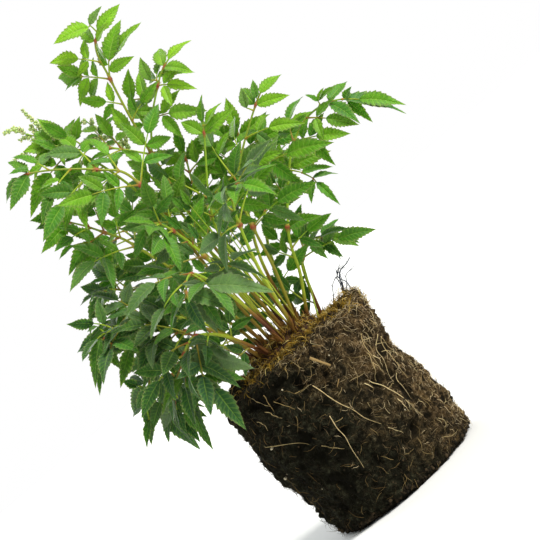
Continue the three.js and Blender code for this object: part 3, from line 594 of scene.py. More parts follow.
# kind, face, then foot, bend, three nodes and tip
leafRows = (
    ("bareBelow", "front",
     (21, 5, 155), (46, 0, 196), (65, -5, 235), (116, -15, 287), (161, -25, 293), (208, -30, 253)),
    ("small", "front",
     (33, 20, 142), (48, 25, 189), (57, 30, 206), (70, 32, 214), (84, 32, 209), (106, 32, 186)),
    ("full", "front",
     (12, 2, 155), (32, -8, 214), (42, -15, 255), (57, -20, 293), (112, -18, 333), (149, -15, 348)),
    ("full", "front",
     (12, -9, 155), (16, -14, 218), (15, -22, 265), (29, -28, 297), (62, -31, 342), (81, -28, 372)),
    ("full", "steep",
     (-3, -12, 155), (-4, -18, 209), (-6, -30, 262), (-12, -42, 295), (-22, -50, 310), (-52, -56, 303)),
    ("forked", "front",
     (4, 10, 155), (5, 12, 270), (16, 2, 361), (31, -6, 433), (43, -8, 466), (82, -10, 481)),
    ("full", "front",
     (-10, -5, 155), (-12, -10, 229), (-8, -25, 344), (-28, -30, 378), (-75, -34, 413), (-106, -32, 413)),
    ("full", "front",
     (-15, 5, 155), (-25, 10, 228), (-47, 8, 309), (-60, 4, 336), (-78, 0, 363), (-105, -4, 386)),
    ("full", "front",
     (-19, 15, 155), (-31, 20, 213), (-56, 30, 268), (-79, 35, 285), (-98, 38, 299), (-134, 40, 288)),
    ("full", "front",
     (-23, -10, 155), (-46, -25, 223), (-78, -35, 253), (-98, -38, 262), (-115, -40, 264), (-142, -42, 246)),
    ("small", "steep",
     (-22, -20, 155), (-42, -35, 210), (-59, -45, 223), (-70, -48, 232), (-82, -52, 236), (-112, -58, 222)),
    ("full", "steep",
     (-15, -24, 155), (-36, -48, 199), (-54, -66, 215), (-70, -76, 210), (-82, -82, 195), (-100, -86, 162)),
    ("small", "front",
     (-27, 0, 155), (-53, 10, 201), (-85, 18, 205), (-101, 22, 199), (-112, 22, 182), (-121, 20, 155)),
    ("full", "front",
     (-29, 12, 155), (-60, 28, 212), (-92, 42, 222), (-118, 48, 212), (-132, 48, 200), (-152, 46, 180)),
    ("full", "steep",
     (-2, -24, 155), (-8, -48, 212), (-14, -70, 240), (-22, -92, 256), (-34, -108, 246), (-44, -128, 214)),
    ("full", "front",
     (13, 12, 155), (28, 20, 227), (52, 27, 277), (68, 30, 303), (85, 30, 325), (98, 28, 360)),
    ("lean", "backward",
     (2, 24, 155), (5, 52, 225), (10, 85, 270), (12, 108, 296), (14, 130, 303), (16, 166, 290)),
    ("lean", "backLeft",
     (-14, 22, 155), (-30, 47, 235), (-40, 72, 290), (-48, 90, 322), (-54, 107, 340), (-64, 136, 344)),
    ("lean", "backRight",
     (16, 22, 155), (36, 44, 222), (60, 66, 262), (78, 82, 282), (96, 96, 288), (126, 116, 276)),
    ("lean", "frontRight",
     (10, -22, 155), (22, -46, 222), (34, -72, 262), (44, -90, 282), (54, -106, 286), (72, -132, 266)),
    ("small", "front",
     (5, 18, 155), (12, 28, 240), (20, 28, 290), (27, 27, 320), (36, 24, 340), (50, 20, 374)),
)
# side stalks that grow unlike the rest: branch and side stalk, then degrees off, share of length and of size
sideWays = {
    (1, 3): (52, 0.5, 0.9),
    (1, 4): (52, 0.4, 0.9),
    (3, 2): (56, 0.7, 1),
    (6, 4): (24, 0.5, 1.1),
    (6, 6): (44, 1, 0.8),
    (8, 3): (52, 0.4, 0.9),
    (10, 1): (56, 0.6, 1),
    (10, 4): (52, 0.4, 0.9),
    (12, 1): (56, 0.7, 0.9),
    (13, 1): (56, 0.6, 0.9),
    (14, 4): (52, 0.4, 0.9),
    (30, 1): (40, 0.5, 0.9),
    (30, 2): (60, 0.35, 0.85),
    (30, 3): (40, 0.4, 0.85),
    (30, 4): (70, 0.3, 0.75),
    (30, 6): (75, 1, 0.85),
    (31, 2): (56, 0.6, 0.9),
    (31, 4): (52, 0.6, 0.9),
}
smallLeaf = {"number": 2, "size": 0.8}
forkedLeaf = 6
limbRows = (  # side, then node, three more and tip
    (1, (16, 2, 361), (36, 0, 384), (59, -4, 402), (74, -6, 411), (110, -8, 421)),
    (-1, (16, 2, 361), (-9, 4, 390), (-34, 4, 409), (-46, 2, 424), (-69, 0, 438)),
)
firstLimb = 30


# A repeatable draw between -1 and 1 for a set of whole numbers: the loose end of a large sine.
def draw(*keys):
    weights = (12.9898, 78.233, 37.719, 93.989)
    wave = math.sin(sum(key * weight for key, weight in zip(keys, weights))) * 43758.5453
    return 2 * (wave - math.floor(wave)) - 1


# Points of a smooth curve through given ones: a cubic between neighbours, with the slope at each point
# half the step between the points beside it.
def routeAt(points, place):
    place = np.asarray(place, float)
    index = np.minimum(place.astype(int), len(points) - 2)
    share = (place - index)[..., None]
    padded = np.vstack([2 * points[0] - points[1], points, 2 * points[-1] - points[-2]])
    before, start, end, after = (padded[index + step] for step in range(4))
    leaving, arriving = (end - before) / 2, (after - start) / 2
    square = 3 * (end - start) - 2 * leaving - arriving
    cube = 2 * (start - end) + leaving + arriving
    return start + leaving * share + square * share**2 + cube * share**3


def routeAlong(points, place, step=0.01):
    return unit(routeAt(points, np.asarray(place) + step) - routeAt(points, np.asarray(place) - step))


# A leaf or limb: its route, and at its three nodes a point, the way of growth and the upper side.
def newBranch(number, owner, kind, face, points, size=1.0, limb=0):
    points = np.array(points, float)
    last = len(points) - 1
    nodes = (last - 3, last - 2, last - 1)
    normal = np.array(face, float)
    frames = {}
    for node in (2, 1, 0):
        index = nodes[node]
        along = unit(points[index + 1] - points[index - 1])
        normal = squared(normal, along)
        frames[node] = (points[index], along, normal)
    return {
        "number": number,
        "owner": owner,
        "kind": kind,
        "face": np.array(face, float),
        "points": points,
        "nodes": nodes,
        "last": last,
        "frames": frames,
        "size": size,
        "limb": limb,
        "leaflets": [],
        "stems": [],
    }


def growBranches():
    branches = []
    for index, (kind, face, *route) in enumerate(leafRows):
        number = index + 1
        direction = unit(np.array(faces[face], float))
        size = smallLeaf["size"] if number == smallLeaf["number"] else 1.0
        branches.append(newBranch(number, number, kind, direction, route, size))
        if number == forkedLeaf:
            for step, (side, *limb) in enumerate(limbRows):
                branches.append(newBranch(firstLimb + step, number, "lean", direction, limb, 1.0, side))
    return branches


# A side stalk: start + out * length * u + bend * u * u, with the bend a little ahead and down.
def sidePath(start, along, normal, side, roll, angle, length):
    roll, angle = math.radians(roll), math.radians(angle)
    across = np.cross(along, normal) * side
    turned = across * math.cos(roll) + normal * math.sin(roll)
    up = squared(normal, turned)
    out = along * math.cos(angle) + turned * math.sin(angle)
    bend = along * leafBuild["lift"] * length - np.array([0, 0, leafBuild["droop"] * length])
    return {"start": start, "out": out, "bend": bend, "up": up, "length": length}


# A point of the side stalk, u from foot to end, and below the way it goes there.
def sideAt(path, u):
    u = np.asarray(u, float)[..., None]
    return path["start"] + path["out"] * path["length"] * u + path["bend"] * u * u


def sideAlong(path, u):
    return unit(path["out"] * path["length"] + path["bend"] * 2 * u)


def stemNumber(node, side):
    return 2 * node + (2 if side > 0 else 1)


# A side stalk's angle, share of the length and share of the size.
def sideWay(number, node, side):
    return sideWays.get((number, stemNumber(node, side)), (leafBuild["pinnaAngle"][node], 1, 1))


def pinnaPath(branch, node, side, roll):
    start, along, normal = branch["frames"][node]
    number = branch["number"]
    usual, reach, _ = sideWay(number, node, side)
    angle = usual + leafLoose["pinnaAngle"] * draw(number, node, side, 0)
    rest = np.linalg.norm(branch["points"][-1] - start)
    loose = 1 + leafLoose["pinnaLength"] * draw(number, node, side, 1)
    wanted = rest * leafBuild["pinnaShare"][node] * loose
    length = min(max(wanted, leafBuild["pinnaLeast"]), leafBuild["pinnaMost"]) * reach
    return sidePath(start, along, normal, side, roll, angle, length)


# Where the leaflets of a side stalk start and which way they go: the end one, then its pairs.
def pinnaStarts(path, pairs, size):
    ends = [(1.0, 0, leafBuild["endShare"])]
    for u, share in pairs:
        ends += [(u, 1, share), (u, -1, share)]
    starts = []
    for u, side, share in ends:
        ahead = sideAlong(path, u)
        normal = squared(path["up"], ahead)
        across = np.cross(ahead, normal) * side
        angle = math.radians(leafBuild["spread"]) if side else 0
        along = ahead * math.cos(angle) + across * math.sin(angle)
        seat = across * leafBuild["seatSide"] if side else ahead * leafBuild["seatEnd"]
        base = sideAt(path, u) + seat
        starts.append({"base": base, "along": along, "normal": normal, "length": size * share})
    return starts


# A leaflet's own turn, bend and size: draws of its own, and one of the trials.
def settled(start, leaf, stem, number, trial):
    yaw, pitch, scale = trial
    yaw = math.radians(yaw)
    pitch = math.radians(leafLoose["pitch"] * draw(leaf, stem, number, 3) + pitch)
    roll = math.radians(leafLoose["roll"] * draw(leaf, stem, number, 2))
    side = np.cross(start["along"], start["normal"])
    swung = start["along"] * math.cos(yaw) + side * math.sin(yaw)
    across = side * math.cos(yaw) - start["along"] * math.sin(yaw)
    along = swung * math.cos(pitch) + start["normal"] * math.sin(pitch)
    raised = start["normal"] * math.cos(pitch) - swung * math.sin(pitch)
    normal = raised * math.cos(roll) + across * math.sin(roll)
    return {
        "base": start["base"],
        "along": along,
        "normal": normal,
        "side": np.cross(along, normal),
        "length": start["length"] * scale * (1 + leafLoose["length"] * draw(leaf, stem, number, 1)),
        "curl": leafBuild["curl"] * (1 + leafLoose["curl"] * draw(leaf, stem, number, 4)),
        "sag": leafBuild["sag"] * (1 + leafLoose["sag"] * draw(leaf, stem, number, 5)),
        "wide": 1.0,
    }


# Half-width of a leaflet as a share of its largest: u^0.75 * (1 - u)^1.25, made 1 at its widest.
def outline(u):
    return u**0.75 * (1 - u) ** 1.25 / 0.2663


# A point of the leaflet, u from base to tip, v from edge to edge over the midrib.
def bladePoint(place, u, v):
    half = place["length"] * leafBuild["halfWidth"] * place["wide"] * outline(u)
    point = (
        place["base"]
        + place["along"] * place["length"] * u
        - place["normal"] * place["length"] * place["curl"] * u * u
        + place["side"] * half * v
        + place["normal"] * half * leafBuild["fold"] * abs(v)
    )
    point[2] -= place["length"] * place["sag"] * u * u
    return point


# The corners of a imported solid, in mm.
def solidCorners(name):
    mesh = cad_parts[name].data
    corners = np.empty(len(mesh.vertices) * 3, np.float32)
    mesh.vertices.foreach_get("co", corners)
    return corners.reshape(-1, 3) / mm


# The trial that a leaflet took in its solid: the one whose tip and widest points are corners of the solid.
def matched(corners, start, leaf, stem, number, near=0.15):
    for trial in bladeTrials:
        place = settled(start, leaf, stem, number, trial)
        probes = (bladePoint(place, 1.0, 0), bladePoint(place, 0.48, 1), bladePoint(place, 0.48, -1))
        if all(np.linalg.norm(corners - probe, axis=1).min() < near for probe in probes):
            return place
    return None


# The leaflets of one side stalk, or the single one of a node: the roll with the most leaflets in the solid.
def placePinna(branch, corners, node, side):
    count = leafKinds[branch["kind"]][node]
    if not count:
        return
    leaf = branch["number"]
    size = leafBuild["length"] * branch["size"] * sideWay(leaf, node, side)[2]
    stem = stemNumber(node, side)
    best, score = None, 0
    for roll in rollTrials:
        path = pinnaPath(branch, node, side, roll)
        if count == 1:
            point, along, normal = branch["frames"][node]
            seat = np.cross(along, normal) * side * leafBuild["nodeHalf"]
            ahead = sideAlong(path, 0)
            normal = squared(path["up"], ahead)
            starts = [{"base": point + seat, "along": ahead, "normal": normal, "length": size}]
        else:
            starts = pinnaStarts(path, leafBuild["pairs"][count], size)
        found = [matched(corners, start, leaf, stem, number) for number, start in enumerate(starts)]
        hits = [place for place in found if place]
        if len(hits) > score:
            best, score = (path, hits), len(hits)
        if score == count:
            break
    if best:
        branch["leaflets"] += best[1]
        if count > 1:
            branch["stems"].append(best[0])


def placeLeaflets(branches):
    for branch in branches:
        corners = solidCorners(f"frond_{branch['owner']:02d}")
        tip = branch["points"][-1]
        base = routeAt(branch["points"], branch["last"] - 1 + leafBuild["stem"])
        along = unit(tip - base)
        start = {
            "base": base,
            "length": np.linalg.norm(tip - base),
            "along": along,
            "normal": squared(branch["frames"][2][2], along),
        }
        place = matched(corners, start, branch["number"], 0, 0)
        if place:
            branch["leaflets"].append(place)
        for node in (2, 1, 0):
            for side in (1, -1):
                placePinna(branch, corners, node, side)
    print("leaflets on their solids:", sum(len(branch["leaflets"]) for branch in branches))


# leaflets given one by one: branch, the side that shows, share of the usual width, foot and tip
ownLeaflets = (
    (6, 1, 1.0, (48, -9, 480), (67, -12, 485)),
    (6, 1, 1.15, (46, -9, 479), (13, -12, 487)),
    (6, 1, 1.1, (45, -12, 445), (84, -15, 452)),
    (6, 1, 1.0, (14, 5, 454), (1, 2, 477)),
    (6, 1, 1.0, (12, 5, 453), (-6, 2, 452)),
    (6, 1, 1.0, (15, -2, 387), (16, -5, 418)),
    (30, 1, 1.0, (70, -12, 406), (89, -15, 391)),
    (30, 1, 1.0, (57, -3, 410), (64, -6, 435)),
    (30, 1, 1.0, (34, 8, 409), (51, 5, 435)),
    (4, 1, 1.0, (68, -32, 346), (91, -35, 352)),
    (3, 1, 1.0, (116, -19, 337), (125, -22, 353)),
    (3, 1, 1.0, (104, -19, 336), (113, -22, 354)),
    (1, 1, 0.95, (181, -27, 278), (204, -30, 251)),
    (1, 1, 1.6, (172, -27, 286), (184, -30, 291)),
    (1, 1, 1.0, (173, -27, 283), (177, -30, 258)),
    (1, 1, 1.0, (154, -25, 300), (148, -28, 313)),
    (1, 1, 1.0, (154, -25, 300), (166, -28, 306)),
    (1, 1, 1.0, (155, -25, 300), (174, -28, 300)),
    (1, 1, 1.0, (104, -19, 263), (127, -22, 249)),
    (1, 1, 1.0, (108, -22, 253), (125, -25, 242)),
    (1, 1, 0.8, (108, -23, 248), (110, -26, 224)),
    (1, 1, 1.0, (107, -21, 252), (94, -24, 238)),
    (2, 1, 1.0, (76, 42, 233), (90, 39, 245)),
    (31, 1, 1.3, (-49, 1, 425), (-69, -2, 435)),
    (7, 1, 1.0, (-72, -35, 415), (-88, -38, 423)),
    (8, 1, 1.1, (-78, -1, 368), (-105, -4, 387)),
    (8, 1, 1.0, (-87, -8, 344), (-104, -11, 342)),
    (10, 1, 1.0, (-113, -46, 276), (-122, -49, 277)),
    (10, 1, 0.8, (-116, -58, 265), (-142, -61, 239)),
    (10, 1, 0.7, (-113, -41, 262), (-144, -44, 232)),
    (14, 1, 1.4, (-131, 52, 215), (-139, 49, 229)),
    (14, 1, 0.8, (-142, 47, 185), (-158, 44, 168)),
    (14, 1, 1.0, (-142, 54, 181), (-155, 51, 167)),
    (14, 1, 1.0, (-116, 46, 170), (-119, 43, 143)),
    (13, 1, 0.75, (-98, 23, 177), (-110, 20, 133)),
    (12, 1, 1.5, (-76, -81, 190), (-70, -84, 156)),
    (12, -1, 1.3, (-63, -74, 209), (-37, -77, 169)),
    (15, 1, 0.95, (-17, -115, 240), (16, -118, 204)),
    (15, -1, 0.8, (-18, -112, 242), (8, -115, 234)),
    (15, -1, 1.0, (-28, -106, 240), (-35, -109, 208)),
    (15, 1, 1.0, (-20, -112, 243), (-33, -115, 255)),
    (13, 1, 1.1, (-35, 25, 196), (-8, 22, 186)),
    (13, 1, 1.1, (-40, 30, 182), (-14, 28, 170)),
    (9, 1, 1.1, (-26, 30, 212), (-2, 28, 196)),
    (9, 1, 1.1, (-8, 30, 222), (16, 28, 210)),
    (9, 1, 1.2, (-58, 32, 285), (-84, 30, 300)),
    (9, 1, 1.2, (-54, 34, 292), (-76, 32, 310)),
    (6, 1, 1.5, (9, 10, 338), (28, 8, 340)),
    (6, 1, 1.4, (17, 14, 349), (37, 12, 353)),
    (6, 1, 1.3, (-1, 16, 345), (-9, 14, 365)),
    (6, 1, 1.3, (3, 22, 355), (-7, 20, 376)),
    (9, 1, 1.2, (-14, 34, 206), (10, 32, 192)),
    (9, 1, 1.2, (-22, 34, 190), (0, 32, 178)),
    (16, 1, 1.2, (16, 30, 214), (32, 28, 196)),
    (16, 1, 1.2, (10, 30, 204), (28, 28, 184)),
)
ownShifts = (0, 2, -2, 4, -4, 6, -6, 9, -9, 12, -12)
# leaves whose listed leaflets get a painted grey sheen
sheenLeaves = (12, 15)
# a branch's side stalks that stay bare: branch and side stalk
bareStems = {
    (1, 15), (1, 16), (2, 12), (2, 13), (2, 17), (3, 12), (3, 13), (3, 15), (4, 12), (4, 13), (4, 16),
    (4, 17), (5, 11), (5, 13), (6, 17), (14, 17), (15, 13), (15, 15), (19, 10), (19, 12), (19, 13),
    (20, 12), (20, 13), (20, 15), (20, 16), (30, 11), (30, 12), (30, 13), (30, 14), (30, 15), (31, 15),
}


extraStems = {
    "places": (0.55, 1.5, 2.5, 3.5),  # along a leaf's route, between its nodes
    "limbPlaces": (0.6, 1.5, 2.5),
    "angle": 50,
    "rolls": (0, 30, -30, 60, -60),
    "length": (20, 6),  # usual, and its loose part
    "size": 25,
    "pairs": ((0.55, 0.86),),
    "trials": 5,
    "missing": 0.2,  # largest draw that leaves out a lowest one
    "firstStem": 10,
    "shift": 0.16,
    "least": 2,  # a stalk with fewer leaflets isn't kept
}


# A coarse blade, a fan round a point on the midrib, for trying a place.
coarseEdge = [(0.2, 1), (0.48, 1), (0.76, 1), (1, 0), (0.76, -1), (0.48, -1), (0.2, -1)]


def coarseBlade(place):
    points = [bladePoint(place, 0.42, 0), bladePoint(place, 0.1, 0)]
    points += [bladePoint(place, u, v) for u, v in coarseEdge]
    count = len(points)
    return points, [(0, i, i + 1 if i + 1 < count else 1) for i in range(1, count)]


def isFree(shape, taken, fresh):
    tree = BVHTree.FromPolygons(*shape)
    return not taken.overlap(tree) and not any(other.overlap(tree) for other in fresh)


# All solids in one search tree.
def allSolids():
    points, triangles, shift = [], [], 0
    for name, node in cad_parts.items():
        mesh = node.data
        mesh.calc_loop_triangles()
        found = np.empty(len(mesh.loop_triangles) * 3, np.int32)
        mesh.loop_triangles.foreach_get("vertices", found)
        points.append(solidCorners(name))
        triangles.append(found.reshape(-1, 3) + shift)
        shift += len(mesh.vertices)
    return BVHTree.FromPolygons(np.concatenate(points).tolist(), np.concatenate(triangles).tolist())


# A leaflet from foot to tip: aimed above the tip by as much as its curl and sag bring it down.
def ownLeaflet(branch, index, side, wide, foot, tip):
    foot, tip = np.array(foot, float), np.array(tip, float)
    reach = np.linalg.norm(tip - foot)
    curl = leafBuild["curl"] * (1 + leafLoose["ownCurl"] * draw(index, 4))
    sag = leafBuild["sag"] * (1 + leafLoose["ownSag"] * draw(index, 5))
    loose = leafLoose["ownFace"] * np.array([draw(index, 6), 0, draw(index, 7)])
    face = side * unit(branch["face"] + loose)
    normal = squared(face, unit(tip - foot))
    along = unit((tip - foot) / reach + curl * normal + np.array([0, 0, sag]))
    normal = squared(face, along)
    return {
        "base": foot,
        "along": along,
        "normal": normal,
        "side": np.cross(along, normal),
        "length": reach,
        "curl": curl,
        "sag": sag,
        "wide": wide,
        # whether the leaflet gets more of the painted grey sheen
        "worn": branch["number"] in sheenLeaves,
    }


# The stalk of such a leaflet: from the nearest point of its branch, with a slight bend.
def ownStalk(branch, foot):
    track = routeAt(branch["points"], np.linspace(0.3, branch["last"] - 0.8, 160))
    stalks = [track] + [sideAt(stem, np.linspace(0, 1, 12)) for stem in branch["stems"]]
    points = np.concatenate(stalks)
    start = points[np.linalg.norm(points - foot, axis=1).argmin()]
    reach = np.linalg.norm(foot - start)
    if reach < 1.5:
        return None
    bend = np.array([0, 0, -0.08 * reach])
    length = np.linalg.norm(foot - start - bend)
    out = unit(foot - start - bend)
    up = squared(branch["face"], out)
    return {"start": start, "out": out, "bend": bend, "up": up, "length": length}


# Such a leaflet, moved forward and back until it touches nothing; if it always does, the last place stays.
def fitLeaflet(branch, index, row, taken, fresh):
    side, wide, foot, tip = row
    for shift in ownShifts:
        move = np.array([0, shift, 0])
        place = ownLeaflet(branch, index, side, wide, foot + move, tip + 1.3 * move)
        shape = coarseBlade(place)
        if isFree(shape, taken, fresh):
            break
    branch["leaflets"].append(place)
    fresh.append(BVHTree.FromPolygons(*shape))
    return place


def addOwnLeaflets(branches, taken):
    fresh = []
    byNumber = {branch["number"]: branch for branch in branches}
    for index, (number, *row) in enumerate(ownLeaflets):
        branch = byNumber[number]
        place = fitLeaflet(branch, index, row, taken, fresh)
        stalk = ownStalk(branch, place["base"])
        if stalk:
            branch["stems"].append(stalk)
    print("leaflets set by hand:", len(ownLeaflets))
    return fresh


# Young shoots among the stalks: branch, foot, end and the tip of the narrow leaflet there, if it has one.
youngShoots = (
    (5, (11, -8, 162), (7, -46, 304), (5, -50, 322)),
    (5, (10, -14, 160), (13, -50, 302), (16, -54, 320)),
    (5, (4, -20, 160), (-5, -56, 291), (-9, -60, 312)),
    (5, (-3, -20, 160), (-11, -58, 268), (-16, -62, 288)),
    (4, (18, -6, 160), (27, -40, 288), (36, -44, 306)),
    (5, (12, -14, 160), (0, -52, 276), (2, -56, 294)),
    (4, (14, -3, 160), (22, -34, 262), (20, -38, 282)),
    (5, (0, -16, 160), (-4, -46, 238), (-14, -50, 252)),
    (1, (30, -2, 149), (55, 1, 203), None),
)


def addShoots(branches, taken, fresh, lean=-14, wide=0.8):
    byNumber = {branch["number"]: branch for branch in branches}
    for index, (number, foot, end, tip) in enumerate(youngShoots, len(ownLeaflets)):
        branch = byNumber[number]
        if tip:
            end = fitLeaflet(branch, index, (1, wide, end, tip), taken, fresh)["base"]
        start, bend = np.array(foot, float), np.array([0, lean, 0.0])
        reach = end - start - bend
        length, out = np.linalg.norm(reach), unit(reach)
        up = squared(branch["face"], out)
        branch["stems"].append({"start": start, "out": out, "bend": bend, "up": up, "length": length})
    print("young shoots:", len(youngShoots))
    return fresh


# One side stalk between the nodes: the roll with room for most of its small leaflets, each in its first
# free trial.
def roomiest(branch, stem, place, side, taken, fresh):
    leaf = branch["number"]
    start, along = routeAt(branch["points"], place), routeAlong(branch["points"], place)
    normal = squared(branch["face"], along)
    usual, loose = extraStems["length"]
    length = usual + loose * draw(leaf, stem, 0, 9)
    best = None
    for roll in extraStems["rolls"]:
        path = sidePath(start, along, normal, side, roll, extraStems["angle"], length)
        starts = pinnaStarts(path, extraStems["pairs"], extraStems["size"])
        hits, shapes = [], []
        for number, spot in enumerate(starts):
            for trial in bladeTrials[:extraStems["trials"]]:
                found = settled(spot, leaf, stem, number, trial)
                shape = coarseBlade(found)
                if isFree(shape, taken, fresh + shapes):
                    hits.append(found)
                    shapes.append(BVHTree.FromPolygons(*shape))
                    break
        if best is None or len(hits) > len(best[1]):
            best = (path, hits, shapes)
        if len(hits) == len(starts):
            break
    return best


# Side stalks between the nodes, wherever there is room for two or three small leaflets.
def addExtraStems(branches, taken, fresh):
    added = 0
    for branch in branches:
        leaf, limb = branch["number"], branch["limb"]
        for row, at in enumerate(extraStems["limbPlaces"] if limb else extraStems["places"]):
            for side in (1, -1):
                stem = extraStems["firstStem"] + 2 * row + (side > 0)
                lowest = at < 1 and not limb
                if (leaf, stem) in bareStems or (lowest and draw(leaf, stem, 7, 7) < extraStems["missing"]):
                    continue
                place = at + extraStems["shift"] * draw(leaf, stem, 0, 8)
                path, hits, shapes = roomiest(branch, stem, place, side, taken, fresh)
                if len(hits) >= extraStems["least"]:
                    branch["stems"].append(path)
                    branch["leaflets"] += hits
                    fresh += shapes
                    added += len(hits)
    print("leaflets added between them:", added)


leafletShape = {
    "grades": ((26, 10), (0, 6)),  # least length and teeth on each side
    "toothLines": ((0.0, 0.88), (0.5, 0.98), (0.88, 1.09)),  # place in the tooth, edge there
    "tail": 0.08,
    "across": (-1, -0.56, -0.12, 0, 0.12, 0.56, 1),
    "sweep": 0.5,
    "quilt": 0.015,
    "wave": 0.035,
    "half": 0.13,
    "midrib": 0.55,
    "sharp": 50,
}


# Leaflet skins: rings of an upper row from edge to edge and a lower row back. Lines along which the teeth
# and veins run sweep forward: u = s + sweep * |v| * s * (1 - s). Between two veins the blade bulges by a
# squared sine, and the edge waves by a sine of its place. The tip is drawn out by a narrowing half sine.
def leafletSkins(places, tones, teeth, skins):
    if not places:
        return
    names = ("base", "along", "normal", "side")
    listed = (np.array([place[name] for place in places])[:, None, None] for name in names)
    base, along, normal, side = listed
    numbers = ("length", "curl", "sag", "wide")
    listed = (np.array([place[name] for place in places])[:, None, None, None] for name in numbers)
    length, curl, sag, wide = listed
    count = len(places)
    lines = [(k + at, edge) for k in range(teeth) for at, edge in leafletShape["toothLines"]]
    lines = [(0.06, 1.0), (0.22, 0.99)] + lines[1:]
    phase = np.array([at for at, _ in lines])
    edge = np.array([share for _, share in lines])
    phase, edge = phase[None, :, None, None], edge[None, :, None, None]
    v = np.array(leafletShape["across"])[None, None, :, None]
    s = phase / teeth
    chance = rng.random((count, 1, 1, 4))
    # leaflets that get more of the painted grey sheen
    worn = np.array([place.get("worn", False) for place in places])
    chance[worn, ..., 3] = 1
    spread = leafletShape["sweep"] * s * (1 - s)
    u = s + spread * np.abs(v)
    edgeU = s + spread
    toothy = 1 + (edge - 1) * np.clip(s / 0.12, 0, 1)
    toothy = toothy * (1 - leafletShape["tail"] * np.sin(np.pi * np.clip((edgeU - 0.4) / 0.6, 0, 1)))
    width = length * leafBuild["halfWidth"] * wide * outline(edgeU) * toothy
    lane = np.abs(np.modf(phase + 0.1)[0])
    bulge = np.sin(np.pi * lane) ** 2 * np.sin(np.pi * np.clip(np.abs(v), 0, 1)) ** 0.7
    wave = np.sin(2 * np.pi * (1.6 * s + chance[..., :1])) * v**2 * np.sign(v + chance[..., 1:2] - 0.5)
    quilt = leafletShape["quilt"] * bulge * np.minimum(1, 6 * (1 - s))
    lift = length * (quilt + leafletShape["wave"] * wave * s * (1 - s) * 2.5)
    twist = (chance[..., 2:3] - 0.5) * 0.5 * u
    sideways = side * np.cos(twist) + normal * np.sin(twist)
    upward = normal * np.cos(twist) - side * np.sin(twist)
    middle = (
        base
        + along * length * u
        - normal * length * curl * u * u
        + sideways * width * v
        + upward * (width * leafBuild["fold"] * np.abs(v) + lift)
    )
    middle[..., 2:] -= length * sag * u * u
    ribbed = np.clip(1 - np.abs(v) / 0.12, 0, 1)
    taper = np.clip((1 - s) * 3, 0.15, 1)
    half = leafletShape["half"] * taper
    upper = middle + upward * (half - 0.22 * ribbed * (1 - s))
    lower = middle - upward * (half + leafletShape["midrib"] * ribbed * (1 - s) ** 0.7)
    rings = np.concatenate([middle[:, :, :1], upper[:, :, 1:-1], middle[:, :, -1:], lower[:, :, -2:0:-1]], 2)
    order = np.concatenate([v[0, 0, :, 0], v[0, 0, -2:0:-1, 0]])
    under = np.r_[0.5, np.zeros(len(v[0, 0]) - 2), 0.5, np.ones(len(v[0, 0]) - 2)]
    first = base[:, 0, 0] - along[:, 0, 0] * 0.4
    tip = base + along * length - normal * length * curl
    tip[..., 2:] -= length * sag
    look = (np.array(tones)[:, None, None], chance[..., 3], under)
    skins.add(rings, first, tip[:, 0, 0], leafPlace=(phase[..., 0], order, 0), leafLook=look)


leafAgeAndLight = {
    "rise": (0.65, 0.76),  # what x and z add
    "lowest": 120,
    "range": 330,
    "right": (110, 70, 0.3),  # beyond this x and over this width, darker by this much
    "tone": (1.1, 0.03, 0.2),  # span, least and loose part
}


# Tone of a leaflet from where it grows: painted light makes it yellow-green high up and painted shade deep
# green low down, young leaves high up are paler too, and it is darker far right.
def leafTone(base, number, index):
    acrossRise, upRise = leafAgeAndLight["rise"]
    height = (acrossRise * base[0] + upRise * base[2] - leafAgeAndLight["lowest"]) / leafAgeAndLight["range"]
    beyond, over, older = leafAgeAndLight["right"]
    height -= older * min(max((base[0] - beyond) / over, 0), 1)
    span, least, loose = leafAgeAndLight["tone"]
    return min(max(height, 0), 1) * span + least + loose * draw(number, index, 3, 3)


stalkShape = {
    "baseRadius": 1.7,
    "tipRadius": 0.72,
    "limbRadius": 1.0,
    "sheath": 0.9,
    "sheathEnd": 0.36,
    "knots": (1.7, 0.95, 0.6),
    "knotSpread": 2.8,
    "stemRadii": (0.85, 0.5),
    "sides": 8,
    "step": 3.0,
}


# A main stalk: a taper, plus a sheath that fades out above the foot, plus a bell-shaped swelling at each
# node.
def stalkSkin(branch, skins):
    points, limb = branch["points"], branch["limb"]
    end = branch["last"] - 1 + leafBuild["stem"] + 0.02
    start = 0.02 if limb else 0.0
    dense = np.linspace(start, end, 400)
    path = routeAt(points, dense)
    run = np.r_[0, np.cumsum(np.linalg.norm(np.diff(path, axis=0), axis=1))]
    count = int(run[-1] / stalkShape["step"]) + 2
    place = np.interp(np.linspace(0, run[-1], count), run, dense)
    nearNodes = [index + shift for index in branch["nodes"] for shift in (-0.04, 0, 0.04)]
    place = np.unique(np.r_[place, [at for at in nearNodes if start < at < end]])
    path = routeAt(points, place)
    run = np.r_[0, np.cumsum(np.linalg.norm(np.diff(path, axis=0), axis=1))]
    share = place / end
    foot = stalkShape["limbRadius"] if limb else stalkShape["baseRadius"]
    radius = np.interp(share, (0, 1), (foot, stalkShape["tipRadius"]))
    if not limb:
        radius += stalkShape["sheath"] * np.clip(1 - place / stalkShape["sheathEnd"], 0, 1) ** 1.3
    nodePlaces = np.interp(branch["nodes"], place, run)
    bells = np.exp(-(((run[:, None] - nodePlaces[None]) / stalkShape["knotSpread"]) ** 2))
    radius += (bells * stalkShape["knots"]).sum(1) * (0.7 if limb else 1)
    rings = tubeRings(path[None], radius[None], branch["face"][None], stalkShape["sides"])
    ridge = 1 + 0.07 * np.sin(5 * circle(stalkShape["sides"]))[:, None]
    rings = path[None, :, None] + (rings - path[None, :, None]) * ridge
    along = 0.62 + 0.38 * share if limb else share
    knot = np.clip(bells.max(1) * 1.1, 0, 1)
    look = (along[:, None], knot[:, None], 0.5 + 0.5 * draw(branch["number"], 1, 2, 3))
    skins.add(rings, path[:1], path[-1:] + unit(path[-1:] - path[-2:-1]) * 0.3, stalkLook=look)


